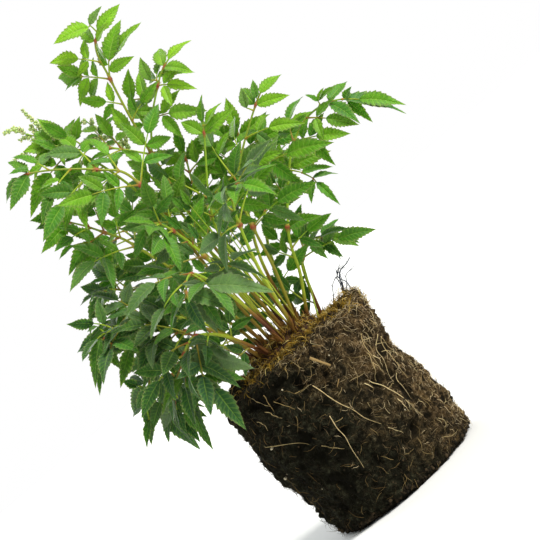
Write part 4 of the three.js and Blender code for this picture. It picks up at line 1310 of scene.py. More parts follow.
# Side stalks: thin tapering tubes on their own curve, with a small swelling where each starts.
def stemSkins(branch, skins):
    if not branch["stems"]:
        return
    u = np.linspace(0, 1, 9)
    paths = np.array([sideAt(stem, u) for stem in branch["stems"]])
    guide = np.array([stem["up"] for stem in branch["stems"]])
    radius = np.interp(u, (0, 1), stalkShape["stemRadii"]) + 0.35 * np.exp(-((u / 0.07) ** 2))
    radii = np.broadcast_to(radius, paths.shape[:2])
    rings = tubeRings(paths, radii, guide, 6)
    chance = rng.random((len(paths), 1, 1))
    along = np.interp(u, (0, 1), (0.2, 0.9))[:, None]
    knot = np.clip(0.7 * np.exp(-((u / 0.12) ** 2))[:, None] + 0.3 * chance, 0, 1)
    skins.add(rings, paths[:, 0], paths[:, -1], stalkLook=(along, knot, chance))


# Fine brown hairs that stand out round each node of a stalk.
def hairSkins(branch, skins, count=8, reach=2.6):
    for point, along, normal in branch["frames"].values():
        turn = rng.random(count) * 2 * np.pi
        across = np.cross(along, normal)
        spoke = normal * np.cos(turn)[:, None] + across * np.sin(turn)[:, None]
        foot = point + along * rng.uniform(-3, 3, count)[:, None] + spoke * 0.9
        aside = spoke + along * rng.uniform(-0.3, 0.7, count)[:, None]
        tip = foot + aside * reach * rng.uniform(0.6, 1, count)[:, None]
        paths = foot[:, None] + (tip - foot)[:, None] * np.array([0, 0.5, 1])[:, None]
        radii = np.broadcast_to([0.09, 0.07, 0.03], (count, 3))
        rings = tubeRings(paths, radii, np.cross(spoke, along), 3)
        skins.add(rings, paths[:, 0], paths[:, -1], stalkLook=(0.1, 0.6, 0.5))


def makeLeaves(branches, leafMaterial, stalkMaterial):
    for number in range(1, len(leafRows) + 1):
        skins = Skins()
        own = [branch for branch in branches if branch["owner"] == number]
        places = [place for branch in own for place in branch["leaflets"]]
        tones = [leafTone(place["base"], number, index) for index, place in enumerate(places)]
        tallest = math.inf
        for least, teeth in leafletShape["grades"]:
            grade = [i for i, place in enumerate(places) if least <= place["length"] < tallest]
            leafletSkins([places[i] for i in grade], [tones[i] for i in grade], teeth, skins)
            tallest = least
        marks = skins.count
        for branch in own:
            stalkSkin(branch, skins)
            stemSkins(branch, skins)
            hairSkins(branch, skins)
        finishes, nodes = [leafMaterial, stalkMaterial], [f"frond_{number:02d}"]
        makePiece(f"leaf_{number:02d}", skins, finishes, nodes, leafletShape["sharp"], marks)


ball = {
    "baseRadius": 73,
    "belly": 4,
    "lean": 7,
    "height": 152,
    "chamfer": 4,
    "sideTop": 141,
    "sideEnd": 0.9,  # where "up" leaves the side
    "noiseShift": 300,
    "waves": ((1.2, 3, 1.1, 40), (0.8, 7, 0, -18), (0.5, 11, 0, 9)),  # size, times round, turn, rise
    "shoulder": (6, 132, 17, 2),  # size, height, half-width and how narrow, at the left
    "corner": (4.5, 151, 12, 5),  # the same at the right rim
    "mounds": ((7, -6, 0, 38), (10, -58, -6, 13), (6.5, 69, 2, 17)),  # height, x, y and half-width
    "ripple": 1.3,
    "edge": (0.965, 0.035),  # share of the radius where the top starts, and what the rounding takes
    "drop": (3, 1.8, 0.82, 0.145),  # fall of the top's edge, less at the right; its start and its width
    "sectors": 320,
    "sideRings": 98,
    "topRings": 46,
    "lumps": ((17, 2.2), (8, 1.5), (3.6, 1.1)),  # size and height of each grade of lump
    "crumbs": (4.6, 1.7),
    "hollows": (13, 3.4),  # size and depth
    "pits": (  # turn, height and half-width of further hollows
        (-121, 73, 13),
        (-109, 62, 12),
        (-116, 46, 10),
        (-131, 84, 9),
        (-126, 143, 7),
        (-137, 74, 7),
        (-79, 97, 5),
        (-83, 122, 5),
        (-66, 84, 4),
        (-95, 40, 6),
        (40, 90, 8),
        (100, 60, 9),
        (160, 110, 8),
    ),
}
crownShape = {
    "x": -6,
    "halfLength": 38,
    "halfWidth": 33,
    "bottom": 146,
    "height": 23.5,
    "outline": ((0.72, 0), (0.95, 0.2), (1, 0.42), (0.94, 0.64), (0.74, 0.84), (0.4, 0.96), (0.05, 1)),
    "lumps": ((9, 1.1), (4, 0.9), (2, 0.5)),
    "noiseShift": 500,
    "sectors": 130,
    "rings": 46,
}


# Smooth repeatable noise from -1 to 1: random values at the corners of a grid of that size, mixed by a
# smooth step between them.
def lumpNoise(points, size, seed):
    cells = 64
    values = np.random.default_rng(seed).uniform(-1, 1, (cells, cells, cells))
    scaled = points / size
    low = np.floor(scaled).astype(int)
    part = scaled - low
    part = part * part * (3 - 2 * part)
    total = np.zeros(points.shape[:-1])
    for corner in np.ndindex(2, 2, 2):
        weight = np.prod(np.where(np.array(corner) == 1, part, 1 - part), axis=-1)
        index = (low + corner) % cells
        total += weight * values[index[..., 0], index[..., 1], index[..., 2]]
    return total


# Distance of the side from the axis: a slight belly, a lean to one side, three slow waves round it and
# bell-shaped shoulders high on the left and at the right rim.
def ballRadius(turn, z):
    belly = ball["belly"] * np.sin(np.pi * z / 170)
    lean = -ball["lean"] * np.sin(np.pi * z / 175) ** 4 * np.cos(turn)
    waves = sum(size * np.sin(times * turn + at + z / rise) for size, times, at, rise in ball["waves"])
    radius = ball["baseRadius"] + belly + lean + waves
    for name, side in (("shoulder", -1), ("corner", 1)):
        size, height, half, power = ball[name]
        bell = size * np.exp(-(((z - height) / half) ** 2))
        radius = radius + bell * np.clip(side * np.cos(turn), 0, 1) ** power
    return radius


# Height of the top: bell-shaped mounds at the crown, at the left and at the right rim, and small ripples.
def topHeight(x, y):
    height = ball["height"]
    for size, middleX, middleY, half in ball["mounds"]:
        height = height + size * np.exp(-((x - middleX) ** 2 + (y - middleY) ** 2) / half**2)
    return height + ball["ripple"] * np.sin(x / 9 + 1) * np.cos(y / 8)


# The "up" of a height on the side.
def upAt(height):
    return height / ball["sideTop"] * ball["sideEnd"]


# The plain surface: "up" climbs the side from 0 to 0.9, rounds the edge to 1 and crosses the top to 2.
def ballPlain(turn, up):
    side = np.clip(up / ball["sideEnd"], 0, 1)
    rounding = np.clip((up - ball["sideEnd"]) / 0.1, 0, 1)
    edge, taken = ball["edge"]
    share = np.where(up > 1, edge * (2 - up), 1 - taken * rounding**1.5)
    z = ball["sideTop"] * side + (ball["height"] - ball["sideTop"]) * rounding
    radius = ballRadius(turn, z) * share
    radius = radius - np.clip(ball["chamfer"] - z, 0, None)
    x, y = radius * np.cos(turn), radius * np.sin(turn)
    fall, less, start, width = ball["drop"]
    fall = fall - less * np.clip(np.cos(turn), 0, 1)
    top = topHeight(x, y) - fall * np.clip((share - start) / width, 0, 1) ** 2
    high = ball["sideTop"] + (top - ball["sideTop"]) * np.sin(rounding * np.pi / 2)
    height = np.where(up <= ball["sideEnd"], ball["sideTop"] * side, high)
    return np.stack([x, y, height], -1)


# How deep a place is hollowed, 0 to 1: where a coarse noise runs high, and bell-shaped pits.
def ballHollow(plain):
    coarse = lumpNoise(plain + ball["noiseShift"], ball["hollows"][0], 21)
    deep = np.clip((coarse - 0.22) / 0.35, 0, 1)
    for turn, z, half in ball["pits"]:
        middle = ballPlain(math.radians(turn), upAt(z))
        deep = np.maximum(deep, np.exp(-((plain - middle) ** 2).sum(-1) / half**2))
    return deep * np.clip((151 - plain[..., 2]) / 8, 0, 1)


# The lumpy surface and its outward side: the plain one moved along that side by graded noise, in by its
# hollows, and out by crumbs with sharp creases between them, |noise|. The lowest edge is ragged.
def ballSurface(turn, up):
    step = 0.004
    plain = ballPlain(turn, up)
    around = ballPlain(turn + step, up) - ballPlain(turn - step, up)
    rise = ballPlain(turn, np.minimum(up + step, 1.999)) - ballPlain(turn, np.maximum(up - step, 0))
    outward = unit(np.cross(around, rise))
    place = plain + ball["noiseShift"]
    grades = enumerate(ball["lumps"], 5)
    shift = sum(height * lumpNoise(place, size, seed) for seed, (size, height) in grades)
    size, height = ball["crumbs"]
    shift = shift + height * (2 * np.abs(lumpNoise(place, size, 9)) - 0.6)
    shift = shift - ball["hollows"][1] * ballHollow(plain)
    level = plain[..., 2]
    fade = np.stack([np.clip(level / 3, 0.7, 1)] * 2 + [np.clip(level / 9, 0, 1)], -1)
    surface = plain + outward * shift[..., None] * fade
    ragged = 4.2 * np.clip(lumpNoise(place, 5.5, 23) + 0.25, 0, 1) * np.clip(1 - level / 6, 0, 1)
    surface[..., 2] = np.maximum(surface[..., 2], level * 0.1) + ragged
    return surface, outward


# The ball's own compost, with a recess under the crown.
def makeRootBall(finish):
    up = np.r_[np.linspace(0, 1, ball["sideRings"]), np.linspace(1, 1.985, ball["topRings"])[1:]]
    turns, ups = np.meshgrid(circle(ball["sectors"]), up)
    surface, _ = ballSurface(turns, ups)
    deep = ballHollow(ballPlain(turns, ups))
    acrossX = (surface[..., 0] - crownShape["x"]) / crownShape["halfLength"]
    across = np.hypot(acrossX, surface[..., 1] / crownShape["halfWidth"])
    under = (across < 0.93) & (surface[..., 2] > 140)
    recess = crownShape["bottom"] - 0.6
    surface[..., 2] = np.where(under, recess, surface[..., 2])
    flats = [surface[0] * (share, share, 0) for share in (0.4, 0.88)]
    rings = np.concatenate([np.stack(flats), surface])[None]
    deep = np.concatenate([deep[:2] * 0, deep])
    skins = Skins()
    # soilLook carries how deep each place is hollowed, where the finish paints shade.
    skins.add(rings, np.zeros((1, 3)), np.array([[0, 0, recess]]), soilLook=(deep, 0, 0))
    makePiece("soil", skins, [finish], ["root_ball"])


# The crown's plain surface: the outline's share of the half sides, waved round, with "up" from 0 to 1.
def crownPlain(turn, up):
    widths, places = zip(*crownShape["outline"])
    share = np.interp(up, places, widths)
    lump = 1 + 0.05 * np.sin(3 * turn + 4 * up) + 0.03 * np.sin(5 * turn)
    x = crownShape["x"] + crownShape["halfLength"] * share * lump * np.cos(turn)
    y = crownShape["halfWidth"] * share * lump * np.sin(turn)
    return np.stack([x, y, crownShape["bottom"] + crownShape["height"] * up + 0 * x], -1)


# The bark: the plain surface moved out and up by graded noise with sharp creases.
def crownSurface(turn, up):
    plain = crownPlain(turn, up)
    steep = np.clip(1.2 - up, 0.1, 1)
    outward = unit(np.stack([np.cos(turn) * steep, np.sin(turn) * steep, up + 0.05], -1))
    place = plain + crownShape["noiseShift"]
    grades = enumerate(crownShape["lumps"], 31)
    shift = sum(height * np.abs(lumpNoise(place, size, seed)) for seed, (size, height) in grades)
    fade = np.clip(up / 0.2, 0, 1)
    return plain + outward * ((shift * 2 - 1.1) * fade)[..., None], outward


def makeCrown(finish):
    turns, ups = np.meshgrid(circle(crownShape["sectors"]), np.linspace(0, 0.995, crownShape["rings"]))
    surface, _ = crownSurface(turns, ups)
    skins = Skins()
    first = np.array([[crownShape["x"], 0, crownShape["bottom"]]])
    skins.add(surface[None], first, surface[-1:].mean(1))
    makePiece("crown_bark", skins, [finish], ["crown"])


scalePlan = {"each": 5, "length": (11, 21), "halfWidth": (2.0, 3.4), "thick": 0.35, "rings": 9, "sides": 8}


# Papery scales round each stalk's foot: flat ring stacks, widest at a third, that hug the stalk and open.
def makeScales(branches, finish):
    feet, alongs = [], []
    for branch in branches:
        if not branch["limb"]:
            feet += [branch["points"][0]] * scalePlan["each"]
            alongs += [routeAlong(branch["points"], 0.15)] * scalePlan["each"]
    feet, along = np.array(feet), np.array(alongs)
    count = len(feet)
    turn = rng.uniform(0, 2 * np.pi, count)
    normal = squared(np.array([0.3, -1.0, 0.2]), along)
    across = np.cross(along, normal)
    spoke = normal * np.cos(turn)[:, None] + across * np.sin(turn)[:, None]
    wide = np.cross(along, spoke)
    length = rng.uniform(*scalePlan["length"], count)[:, None]
    half = rng.uniform(*scalePlan["halfWidth"], count)[:, None, None]
    u = np.linspace(0.02, 0.98, scalePlan["rings"])[None]
    opening = rng.uniform(0.5, 5.5, count)[:, None]
    away = 1.9 + opening * u**3
    start = feet + along * rng.uniform(3.5, 9, count)[:, None]
    path = start[:, None] + along[:, None] * (length * u)[..., None] + spoke[:, None] * away[..., None]
    width = (u**0.4 * (1 - u) ** 0.8 / 0.56)[..., None]
    turn = circle(scalePlan["sides"])
    flat = half * width * np.cos(turn)
    wrapped = scalePlan["thick"] * np.sin(turn) - 0.16 * flat**2 / half * (1 - u[..., None])
    rings = path[:, :, None] - wide[:, None, None] * flat[..., None]
    rings = rings + spoke[:, None, None] * wrapped[..., None]
    look = (rng.random((count, 1, 1)), u[..., None], 0)
    skins = Skins()
    skins.add(rings, path[:, 0], path[:, -1] + along * 0.8, strandLook=look)
    makePiece("crown_scales", skins, [finish])


# The pale roots that show on the side: how thick, then turn in degrees and height from end to end.
paleRoots = (
    (0.95, (-95, 122), (-92, 110), (-89, 95), (-85, 84), (-83, 73), (-78, 61)),
    (0.65, (-76, 55), (-73, 50), (-71, 43)),
    (0.85, (-99, 94), (-100, 81), (-100, 72), (-102, 60), (-104, 43)),
    (0.80, (-46, 127), (-51, 119), (-53, 108), (-51, 96)),
    (0.75, (-53, 112), (-56, 99), (-59, 89)),
    (0.65, (-54, 103), (-51, 90)),
    (0.65, (-50, 107), (-46, 93)),
    (0.85, (-35, 117), (-38, 108), (-42, 96), (-50, 79)),
    (0.80, (-31, 113), (-31, 103), (-36, 88), (-39, 73)),
    (0.70, (-42, 82), (-46, 72), (-46, 58)),
    (0.95, (-65, 94), (-60, 87), (-58, 79), (-56, 69), (-55, 57), (-51, 42)),
    (0.75, (-58, 67), (-59, 60), (-58, 53)),
    (1.05, (-69, 95), (-66, 87)),
    (0.80, (-28, 130), (-25, 116), (-23, 101), (-23, 84)),
    (0.60, (-49, 122), (-41, 118)),
    (0.55, (-38, 111), (-23, 105)),
    (0.60, (-37, 103), (-29, 99), (-22, 87)),
    (0.55, (-45, 54), (-43, 44)),
    (0.55, (-42, 31), (-41, 21)),
    (0.80, (-152, 107), (-141, 103), (-133, 98), (-122, 86)),
    (0.55, (-116, 79), (-105, 65)),
    (0.60, (-124, 141), (-125, 134), (-126, 125)),
    (0.70, (-136, 147), (-132, 140), (-126, 131)),
    (0.70, (-122, 132), (-118, 125), (-113, 116)),
    (0.60, (-131, 130), (-127, 124), (-123, 117)),
    (0.50, (-107, 126), (-98, 123)),
    (0.60, (-141, 127), (-136, 124), (-137, 116)),
    (0.80, (10, 120), (15, 104), (13, 88), (18, 70), (16, 52)),
    (0.55, (14, 96), (21, 86), (23, 72)),
    (0.50, (16, 78), (9, 68), (7, 57)),
    (0.70, (34, 132), (40, 118), (39, 101), (45, 84)),
    (0.50, (39, 108), (48, 102), (53, 92)),
    (0.55, (60, 92), (54, 80), (57, 66), (52, 56)),
    (0.85, (92, 128), (86, 112), (88, 96), (79, 80), (74, 58), (70, 40)),
    (0.60, (87, 104), (95, 92), (97, 78)),
    (0.50, (81, 84), (72, 76)),
    (0.75, (112, 120), (117, 102), (114, 84)),
    (0.55, (116, 98), (124, 88), (126, 74)),
    (0.70, (156, 116), (148, 98), (146, 82), (152, 62), (149, 46)),
    (0.50, (147, 86), (139, 78)),
    (0.65, (176, 80), (170, 62), (173, 44)),
    (0.65, (132, 60), (137, 42), (134, 24)),
    (0.50, (104, 52), (110, 44), (108, 34)),
)


# Roots on the side: smooth curves in turn and height, with a small wander, drawn tight over the lumps.
def makePaleRoots(finish, slim=0.38):
    skins = Skins()
    for index, (radius, *ends) in enumerate(paleRoots):
        stops = np.array([(math.radians(turn), z, 0) for turn, z in ends])
        place = np.linspace(0, len(ends) - 1, 30)
        track = routeAt(stops, place)
        wander = 0.5 * np.sin(place * 3 + index) + 0.25 * np.sin(place * 8 + 2 * index)
        turn = track[:, 0] + wander * 0.01
        surface, outward = ballSurface(turn, upAt(track[:, 1]))
        path = surface + outward * (1.0 + 0.3 * np.sin(place * 4 + index))[:, None]
        for _ in range(5):
            path[1:-1] = (path[:-2] + path[1:-1] + path[2:]) / 3
        sunk = ((surface - path) * outward).sum(-1)
        path = path + outward * np.clip(sunk + 0.3, 0, None)[:, None]
        path[1:-1] = (path[:-2] + path[1:-1] + path[2:]) / 3
        taper = np.interp(place, (0, place[-1]), (1, 0.4)) * (1 + 0.14 * np.sin(place * 11 + index))
        rings = tubeRings(path[None], (slim * radius * taper)[None], outward[len(place) // 2][None], 7)
        shaded = 0.3 if turn[0] < -1.8 else 0
        tone = 0.8 + 0.2 * draw(index, 4) - shaded
        skins.add(rings, path[:1], path[-1:], strandLook=(tone, (place / place[-1])[:, None], 0))
    makePiece("pale_roots", skins, [finish])


# Threads on a surface: each starts at a point, leaves along a mix of the surface's sides, curls by a bend
# that grows with the square of its run, kinks by a sine, and arches over the surface by a half sine.
def threadSkins(skins, start, outward, length, radius, lift, stand, tones, curl=0.5, steps=5, sides=3):
    count = len(start)
    around = unit(np.cross(np.array([0.03, 0.02, 1.0]), outward))
    rise = np.cross(outward, around)
    heading = rng.uniform(0, 2 * np.pi, count)[:, None]
    along = around * np.cos(heading) + rise * np.sin(heading)
    side = np.cross(outward, along)
    run = np.linspace(0, 1, steps)[None, :, None]
    bend = rng.uniform(-curl, curl, (count, 1, 1))
    kink = rng.uniform(-0.08, 0.08, (count, 1, 1))
    arch = rng.uniform(0.2, 1, (count, 1, 1)) * lift
    ahead = unit(along + outward * stand[:, None])
    reach = length[:, None, None]
    path = (
        start[:, None]
        + ahead[:, None] * reach * run
        + side[:, None] * reach * (bend * run**2 + kink * np.sin(run * 7))
        + outward[:, None] * (arch * np.sin(np.pi * run) * 2 + 0.15)
    )
    path[..., 2] = np.maximum(path[..., 2], 0.5)
    taper = np.interp(run[..., 0], (0, 0.5, 1), (1, 0.9, 0.35))
    rings = tubeRings(path, radius[:, None] * taper, outward + 0.01 * side, sides)
    skins.add(rings, path[:, 0], path[:, -1], strandLook=(tones[:, None, None], run, 0))


threadPlan = {
    "root_mat": {
        "count": 7400,
        "length": (2.5, 8),
        "radius": (0.09, 0.22),
        "tone": (0.0, 1.0),
        "up": (0, 1.1),
        "curl": 0.6,
        "steps": 4,
    },
    "fine_roots": {
        "count": 700,
        "length": (4, 15),
        "radius": (0.10, 0.21),
        "tone": (0.1, 1.0),
        "up": (0, 1.05),
        "curl": 0.7,
        "steps": 6,
    },
}
threadLight = {
    # rise, least and rightSide set the painted light, most to the upper right; hollow also darkens the tone
    # in the hollows as painted shade
    "rise": (8.4, 3),  # what each metre of x and z adds
    "least": 0.16,
    "rightSide": (0.2, 0.6),  # more at the right, and how far round
    "chance": (0.1, 0.95),  # share of threads with the pale tone
    "hollow": 0.85,  # share lost in the hollows
}


# Threads over the ball: paler by chance, few in the hollows; painted light makes them paler to the upper
# right, and painted shade makes them dark to the lower left, in the hollows and near the base.
def makeThreads(name, finish):
    plan = threadPlan[name]
    skins = Skins()
    count = plan["count"]
    turn = rng.uniform(-np.pi, np.pi, count)
    up = rng.uniform(*plan["up"], count)
    length = rng.uniform(*plan["length"], count)
    radius = rng.uniform(*plan["radius"], count)
    start, outward = ballSurface(turn, up)
    (acrossRise, upRise), (more, wide) = threadLight["rise"], threadLight["rightSide"]
    rightSide = more * np.exp(-((turn / wide) ** 2))
    rise = (start[:, 0] * acrossRise + start[:, 2] * upRise) / 1000
    # painted light: a share rising to the upper right
    litShare = np.clip(rise + threadLight["least"] + rightSide, 0, 1)
    least, most = plan["tone"]
    tone = least + (most - least) * rng.random(count) ** 1.25 * (0.25 + 0.75 * litShare)
    deep = ballHollow(ballPlain(turn, up))
    chance, pale = threadLight["chance"]
    # some threads pale by chance; painted shade darkens them in the hollows and near the base
    tone = np.where(rng.random(count) < chance * litShare, pale, tone) * (1 - threadLight["hollow"] * deep)
    tone = tone * np.clip(start[:, 2] / 9, 0.2, 1)
    stand = rng.uniform(0.0, 0.5, count)
    kept = rng.random(count) > threadLight["hollow"] * deep
    start, outward, length, radius, stand, tone = (
        values[kept] for values in (start, outward, length, radius, stand, tone)
    )
    threadSkins(skins, start, outward, length, radius, 0.6, stand, tone, plan["curl"], plan["steps"])
    makePiece(name, skins, [finish])


mossPlan = {
    "onBall": 5600,
    "onCrown": 2000,
    "length": (2.5, 6.5),
    "radius": (0.18, 0.36),
    "tuft": 6.5,
    "ring": (44, 40),  # half sides of the ring round the crown
    "rim": (68, -8, 30),  # x, y and half-width of the thick places
    "hump": (-46, -10, 13),
}


# Where moss grows in tufts, and how rusty it is.
def tuftNoise(points):
    return lumpNoise(points + 400, mossPlan["tuft"], 77)


# How near points are to a place of the moss, 0 to 1, by a bell round it.
def mossNear(name, points):
    x, y, half = mossPlan[name]
    return np.exp(-((points[:, 0] - x) ** 2 + (points[:, 1] - y) ** 2) / half**2)


# Moss and bark fibre: short threads in tufts over the crown, round it, on the hump and along the rim; the
# same noise sets where a tuft is thick and how rusty it is.
def makeMoss(finish):
    skins = Skins()
    count = mossPlan["onBall"]
    turn = rng.uniform(-np.pi, np.pi, count)
    up = 0.82 + 0.67 * rng.random(count) ** 0.8
    start, outward = ballSurface(turn, up)
    below = np.clip((0.94 - up) / 0.12, 0, 1)
    halfX, halfY = mossPlan["ring"]
    fromCrown = np.hypot((start[:, 0] - crownShape["x"]) / halfX, start[:, 1] / halfY)
    rim, hump = mossNear("rim", start), mossNear("hump", start)
    ring = np.exp(-((fromCrown - 1.0) ** 2) / 0.05)
    tuft = tuftNoise(start)
    bare = np.clip(0.66 + 1.9 * tuft, 0.06, 1) * np.clip((start[:, 0] + 66) / 10, 0.1, 1)
    wanted = np.where(up < 0.94, 1.5 * rim * (1 - below), 0.22 + rim + hump + ring)
    kept = rng.random(count) < np.clip(wanted, 0, 1) * bare
    start, outward, rim, hump, tuft = start[kept], outward[kept], rim[kept], hump[kept], tuft[kept]
    count = len(start)
    tone = np.clip(0.38 + 0.6 * tuft + 0.16 * hump + 0.26 * rim + rng.uniform(-0.4, 0.4, count), 0, 1)
    length = rng.uniform(*mossPlan["length"], count) * (1 + 0.3 * rim + 0.3 * tuft)
    radius = rng.uniform(*mossPlan["radius"], count)
    stand = rng.uniform(0.2, 1.8, count)
    threadSkins(skins, start, outward, length, radius, 0.8, stand, tone, curl=1.0, steps=4)
    count = mossPlan["onCrown"]
    start, outward = crownSurface(rng.uniform(-np.pi, np.pi, count), 1 - 0.85 * rng.random(count) ** 1.6)
    tuft = tuftNoise(start)
    kept = rng.random(count) < np.clip(0.7 + 1.6 * tuft, 0.15, 1)
    start, outward, tuft = start[kept], outward[kept], tuft[kept]
    count = len(start)
    length = rng.uniform(*mossPlan["length"], count)
    radius = rng.uniform(*mossPlan["radius"], count)
    tone = np.clip(0.45 + 0.5 * tuft + rng.uniform(-0.4, 0.4, count), 0, 1)
    stand = rng.uniform(0.1, 1.4, count)
    threadSkins(skins, start, outward, length, radius, 0.8, stand, tone, curl=1.0, steps=4)
    makePiece("moss", skins, [finish])


# Lumpy grains on the surface: a ball of rings, each point moved by its own noise.
def grainSkins(skins, centres, sizes, seed, tones, rings=6, sides=8):
    count = len(centres)
    tilt = (np.arange(rings) + 1) * np.pi / (rings + 1)
    turn = circle(sides)
    plain = np.stack([
        np.sin(tilt)[:, None] * np.cos(turn),
        np.sin(tilt)[:, None] * np.sin(turn),
        -np.cos(tilt)[:, None] * np.ones(sides),
    ], -1)
    stretch = np.random.default_rng(seed).uniform(0.7, 1.2, (count, 1, 1, 3))
    body = plain[None] * sizes[:, None, None, None] * stretch
    lump = 1 + 0.22 * lumpNoise(body + centres[:, None, None] * 3 + 900, 1.1, seed)
    placed = body * lump[..., None] + centres[:, None, None]
    pole = np.array([0, 0, 1.0]) * (sizes * stretch[:, 0, 0, 2])[:, None]
    skins.add(placed, centres - pole, centres + pole, strandLook=(tones[:, None, None], 0, 0))


grainPlan = {
    "pale": ((-144, 102, 1.5), (-155, 74, 1.5), (-112, 135, 0.9)),  # turn, height, size
    "small": 14,
    "smallSize": (0.4, 0.8),
    "crumbs": 1000,
    "crumbSize": (0.45, 1.3),
}


def makePerlite(finish):
    turn, height, size = np.array(grainPlan["pale"]).T
    small = grainPlan["small"]
    turn = np.r_[np.radians(turn), rng.uniform(-np.pi, np.pi, small)]
    up = np.r_[upAt(height), rng.uniform(0.08, 1.2, small)]
    size = np.r_[size, rng.uniform(*grainPlan["smallSize"], small)]
    surface, outward = ballSurface(turn, up)
    skins = Skins()
    grainSkins(skins, surface + outward * size[:, None] * 0.3, size, 41, np.ones(len(size)))
    makePiece("perlite", skins, [finish])


def makeCrumbs(finish):
    count = grainPlan["crumbs"]
    edge = rng.random(count) < 0.4
    size = rng.uniform(*grainPlan["crumbSize"], count) * np.where(edge, 1.5, 1)
    up = rng.uniform(0.01, 1.3, count) * np.where(edge, 0.04, 1)
    surface, outward = ballSurface(rng.uniform(-np.pi, np.pi, count), up)
    centres = surface + outward * size[:, None] * 0.1
    centres[:, 2] = np.maximum(centres[:, 2], size * 1.3)
    skins = Skins()
    grainSkins(skins, centres, size, 43, rng.random(count), rings=3, sides=5)
    makePiece("crumbs", skins, [finish])


# Straw and bark chips: short flat strips laid on the surface; turn and height of both ends, then half width.
strawPlan = (
    ((-85, 141), (-78, 125), 1.2),
    ((-79, 149), (-74, 141), 0.5),
    ((-80, 112), (-84, 108), 0.55),
    ((-88, 152), (-92, 146), 0.45),
    ((-38, 147), (-49, 149), 0.5),
    ((40, 96), (48, 88), 1.0),
    ((120, 112), (113, 103), 0.9),
    ((165, 60), (158, 52), 0.8),
)


def makeStraw(finish):
    skins = Skins()
    for index, (start, end, half) in enumerate(strawPlan):
        u = np.linspace(0, 1, 8)
        turn = np.radians(start[0] + (end[0] - start[0]) * u)
        height = start[1] + (end[1] - start[1]) * u
        surface, outward = ballSurface(turn, upAt(height))
        lift = unit(outward.mean(0))
        chord = surface[0] + (surface[-1] - surface[0]) * u[:, None]
        above = ((surface - chord) * lift).sum(1).max() + 0.35 * half
        path = chord + lift * (above + 0.3 * np.sin(np.pi * u))[:, None]
        width = half * (1 - 0.25 * u) * (1 + 0.1 * np.sin(9 * u + index))
        ahead = unit(path[-1] - path[0])
        across = np.cross(ahead, lift)
        flat = width[:, None] * np.cos(circle(8))
        thick = 0.35 * width[:, None] * np.sin(circle(8))
        rings = path[:, None] - across * flat[..., None] + lift * thick[..., None]
        look = (0.42 + 0.2 * draw(index, 9), 0.7 * u[:, None], 0)
        skins.add(rings[None], path[:1] - ahead * 0.2, path[-1:] + ahead * 0.2, strandLook=look)
    makePiece("straw", skins, [finish])


rootletShape = {
    "stump": ((64, 2, 146), (65, 2, 161)),
    "stumpRadius": (1.6, 1.0),
    "crotch": (64.8, 2, 158),
    "tips": ((70, -6, 176), (80, -2, 183), (87, 4, 172), (74, 8, 179)),
    "radii": (0.42, 0.34, 0.16),
    "twigs": 2,
    "curledTwigs": 4,
    "curled": (  # thickness, then points from foot to tip
        (0.95, (65, 2, 150), (63, 2, 156), (68, 1, 166), (71, 0, 173), (76, -1, 177), (83, 0, 178),
         (89, 2, 180)),
        (0.5, (62, 4, 150), (53, 5, 157), (58, 6, 166), (63, 6, 172), (70, 3, 175), (76, 1, 179)),
        (0.6, (67, 1, 152), (71, 2, 157), (73, 3, 165), (70, 4, 173), (73, 4, 178), (80, 4, 179)),
    ),
}


# A wire along a path, all in one tone.
def wireSkin(skins, path, radius, tone, guide=(0.1, 1.0, 0.3), sides=6):
    rings = tubeRings(path[None], radius[None], np.array([guide]), sides)
    skins.add(rings, path[:1], path[-1:], strandLook=(tone, 0, 0))


# A thin twig off a wire: straight ahead and aside, with an upward curl by the square of its run.
def twigSkin(skins, path, at, index, twig):
    turn = math.pi * draw(index, twig, 2)
    reach = 5 + 2.5 * draw(index, twig, 6)
    ahead = unit(path[at + 1] - path[at])
    side = squared(np.array([0.2, 1.0, 0.1]), ahead)
    out = unit(ahead + 0.9 * (side * math.cos(turn) + np.cross(ahead, side) * math.sin(turn)))
    run = np.linspace(0, 1, 6)[:, None]
    curl = np.array([0, 0, 1.0]) * 0.35 * reach * draw(index, twig, 7)
    track = path[at] + out * reach * run + curl * run**2
    wireSkin(skins, track, np.linspace(0.28, 0.13, 6), 0.6, sides=5)


# Twigs at every fifth point of a wire, from its tenth.
def twigSkins(skins, path, index, count):
    for twig in range(count):
        twigSkin(skins, path, 10 + 5 * twig, index, twig)


# Old dark rootlets: wires from one stump through a raised middle, with a wander of two sines, then curled
# wires along their own points, all with thin twigs.
def makeRootlets(finish):
    skins = Skins()
    low, high = (np.array(end, float) for end in rootletShape["stump"])
    u = np.linspace(0, 1, 7)
    path = low + (high - low) * u[:, None]
    radius = np.interp(u, (0, 1), rootletShape["stumpRadius"]) * (1 + 0.15 * np.sin(11 * u))
    wireSkin(skins, path, radius, 0.4, (0, 1.0, 0), 8)
    start = np.array(rootletShape["crotch"])
    for index, tip in enumerate(rootletShape["tips"]):
        tip = np.array(tip, float)
        middle = (start + tip) / 2 + np.array([0, 3 * draw(index, 1), 4])
        stops = np.array([start - (0, 0, 2), middle, tip])
        place = np.linspace(0, 2, 22)
        path = routeAt(stops, place)
        side = unit(np.cross(tip - start, (0, 1.0, 0.2)))
        path = path + side * (0.9 * np.sin(place * 5 + index) * np.sin(np.pi * place / 2))[:, None]
        radius = np.interp(place, (0, 1, 2), rootletShape["radii"])
        wireSkin(skins, path, radius, 0.45 + 0.4 * draw(index, 5))
        twigSkins(skins, path, index, rootletShape["twigs"])
    for index, (thick, *stops) in enumerate(rootletShape["curled"], 10):
        place = np.linspace(0, len(stops) - 1, 30)
        path = routeAt(np.array(stops, float), place)
        path[:, 1] += 0.8 * np.sin(place * 2.7 + index)
        radius = thick * np.interp(place, (0, place[-1]), (1, 0.4)) * (1 + 0.12 * np.sin(place * 9))
        wireSkin(skins, path, radius, 0.35 + 0.3 * draw(index, 5))
        twigSkins(skins, path, index, rootletShape["curledTwigs"])
    makePiece("old_wires", skins, [finish], ["old_rootlets"])


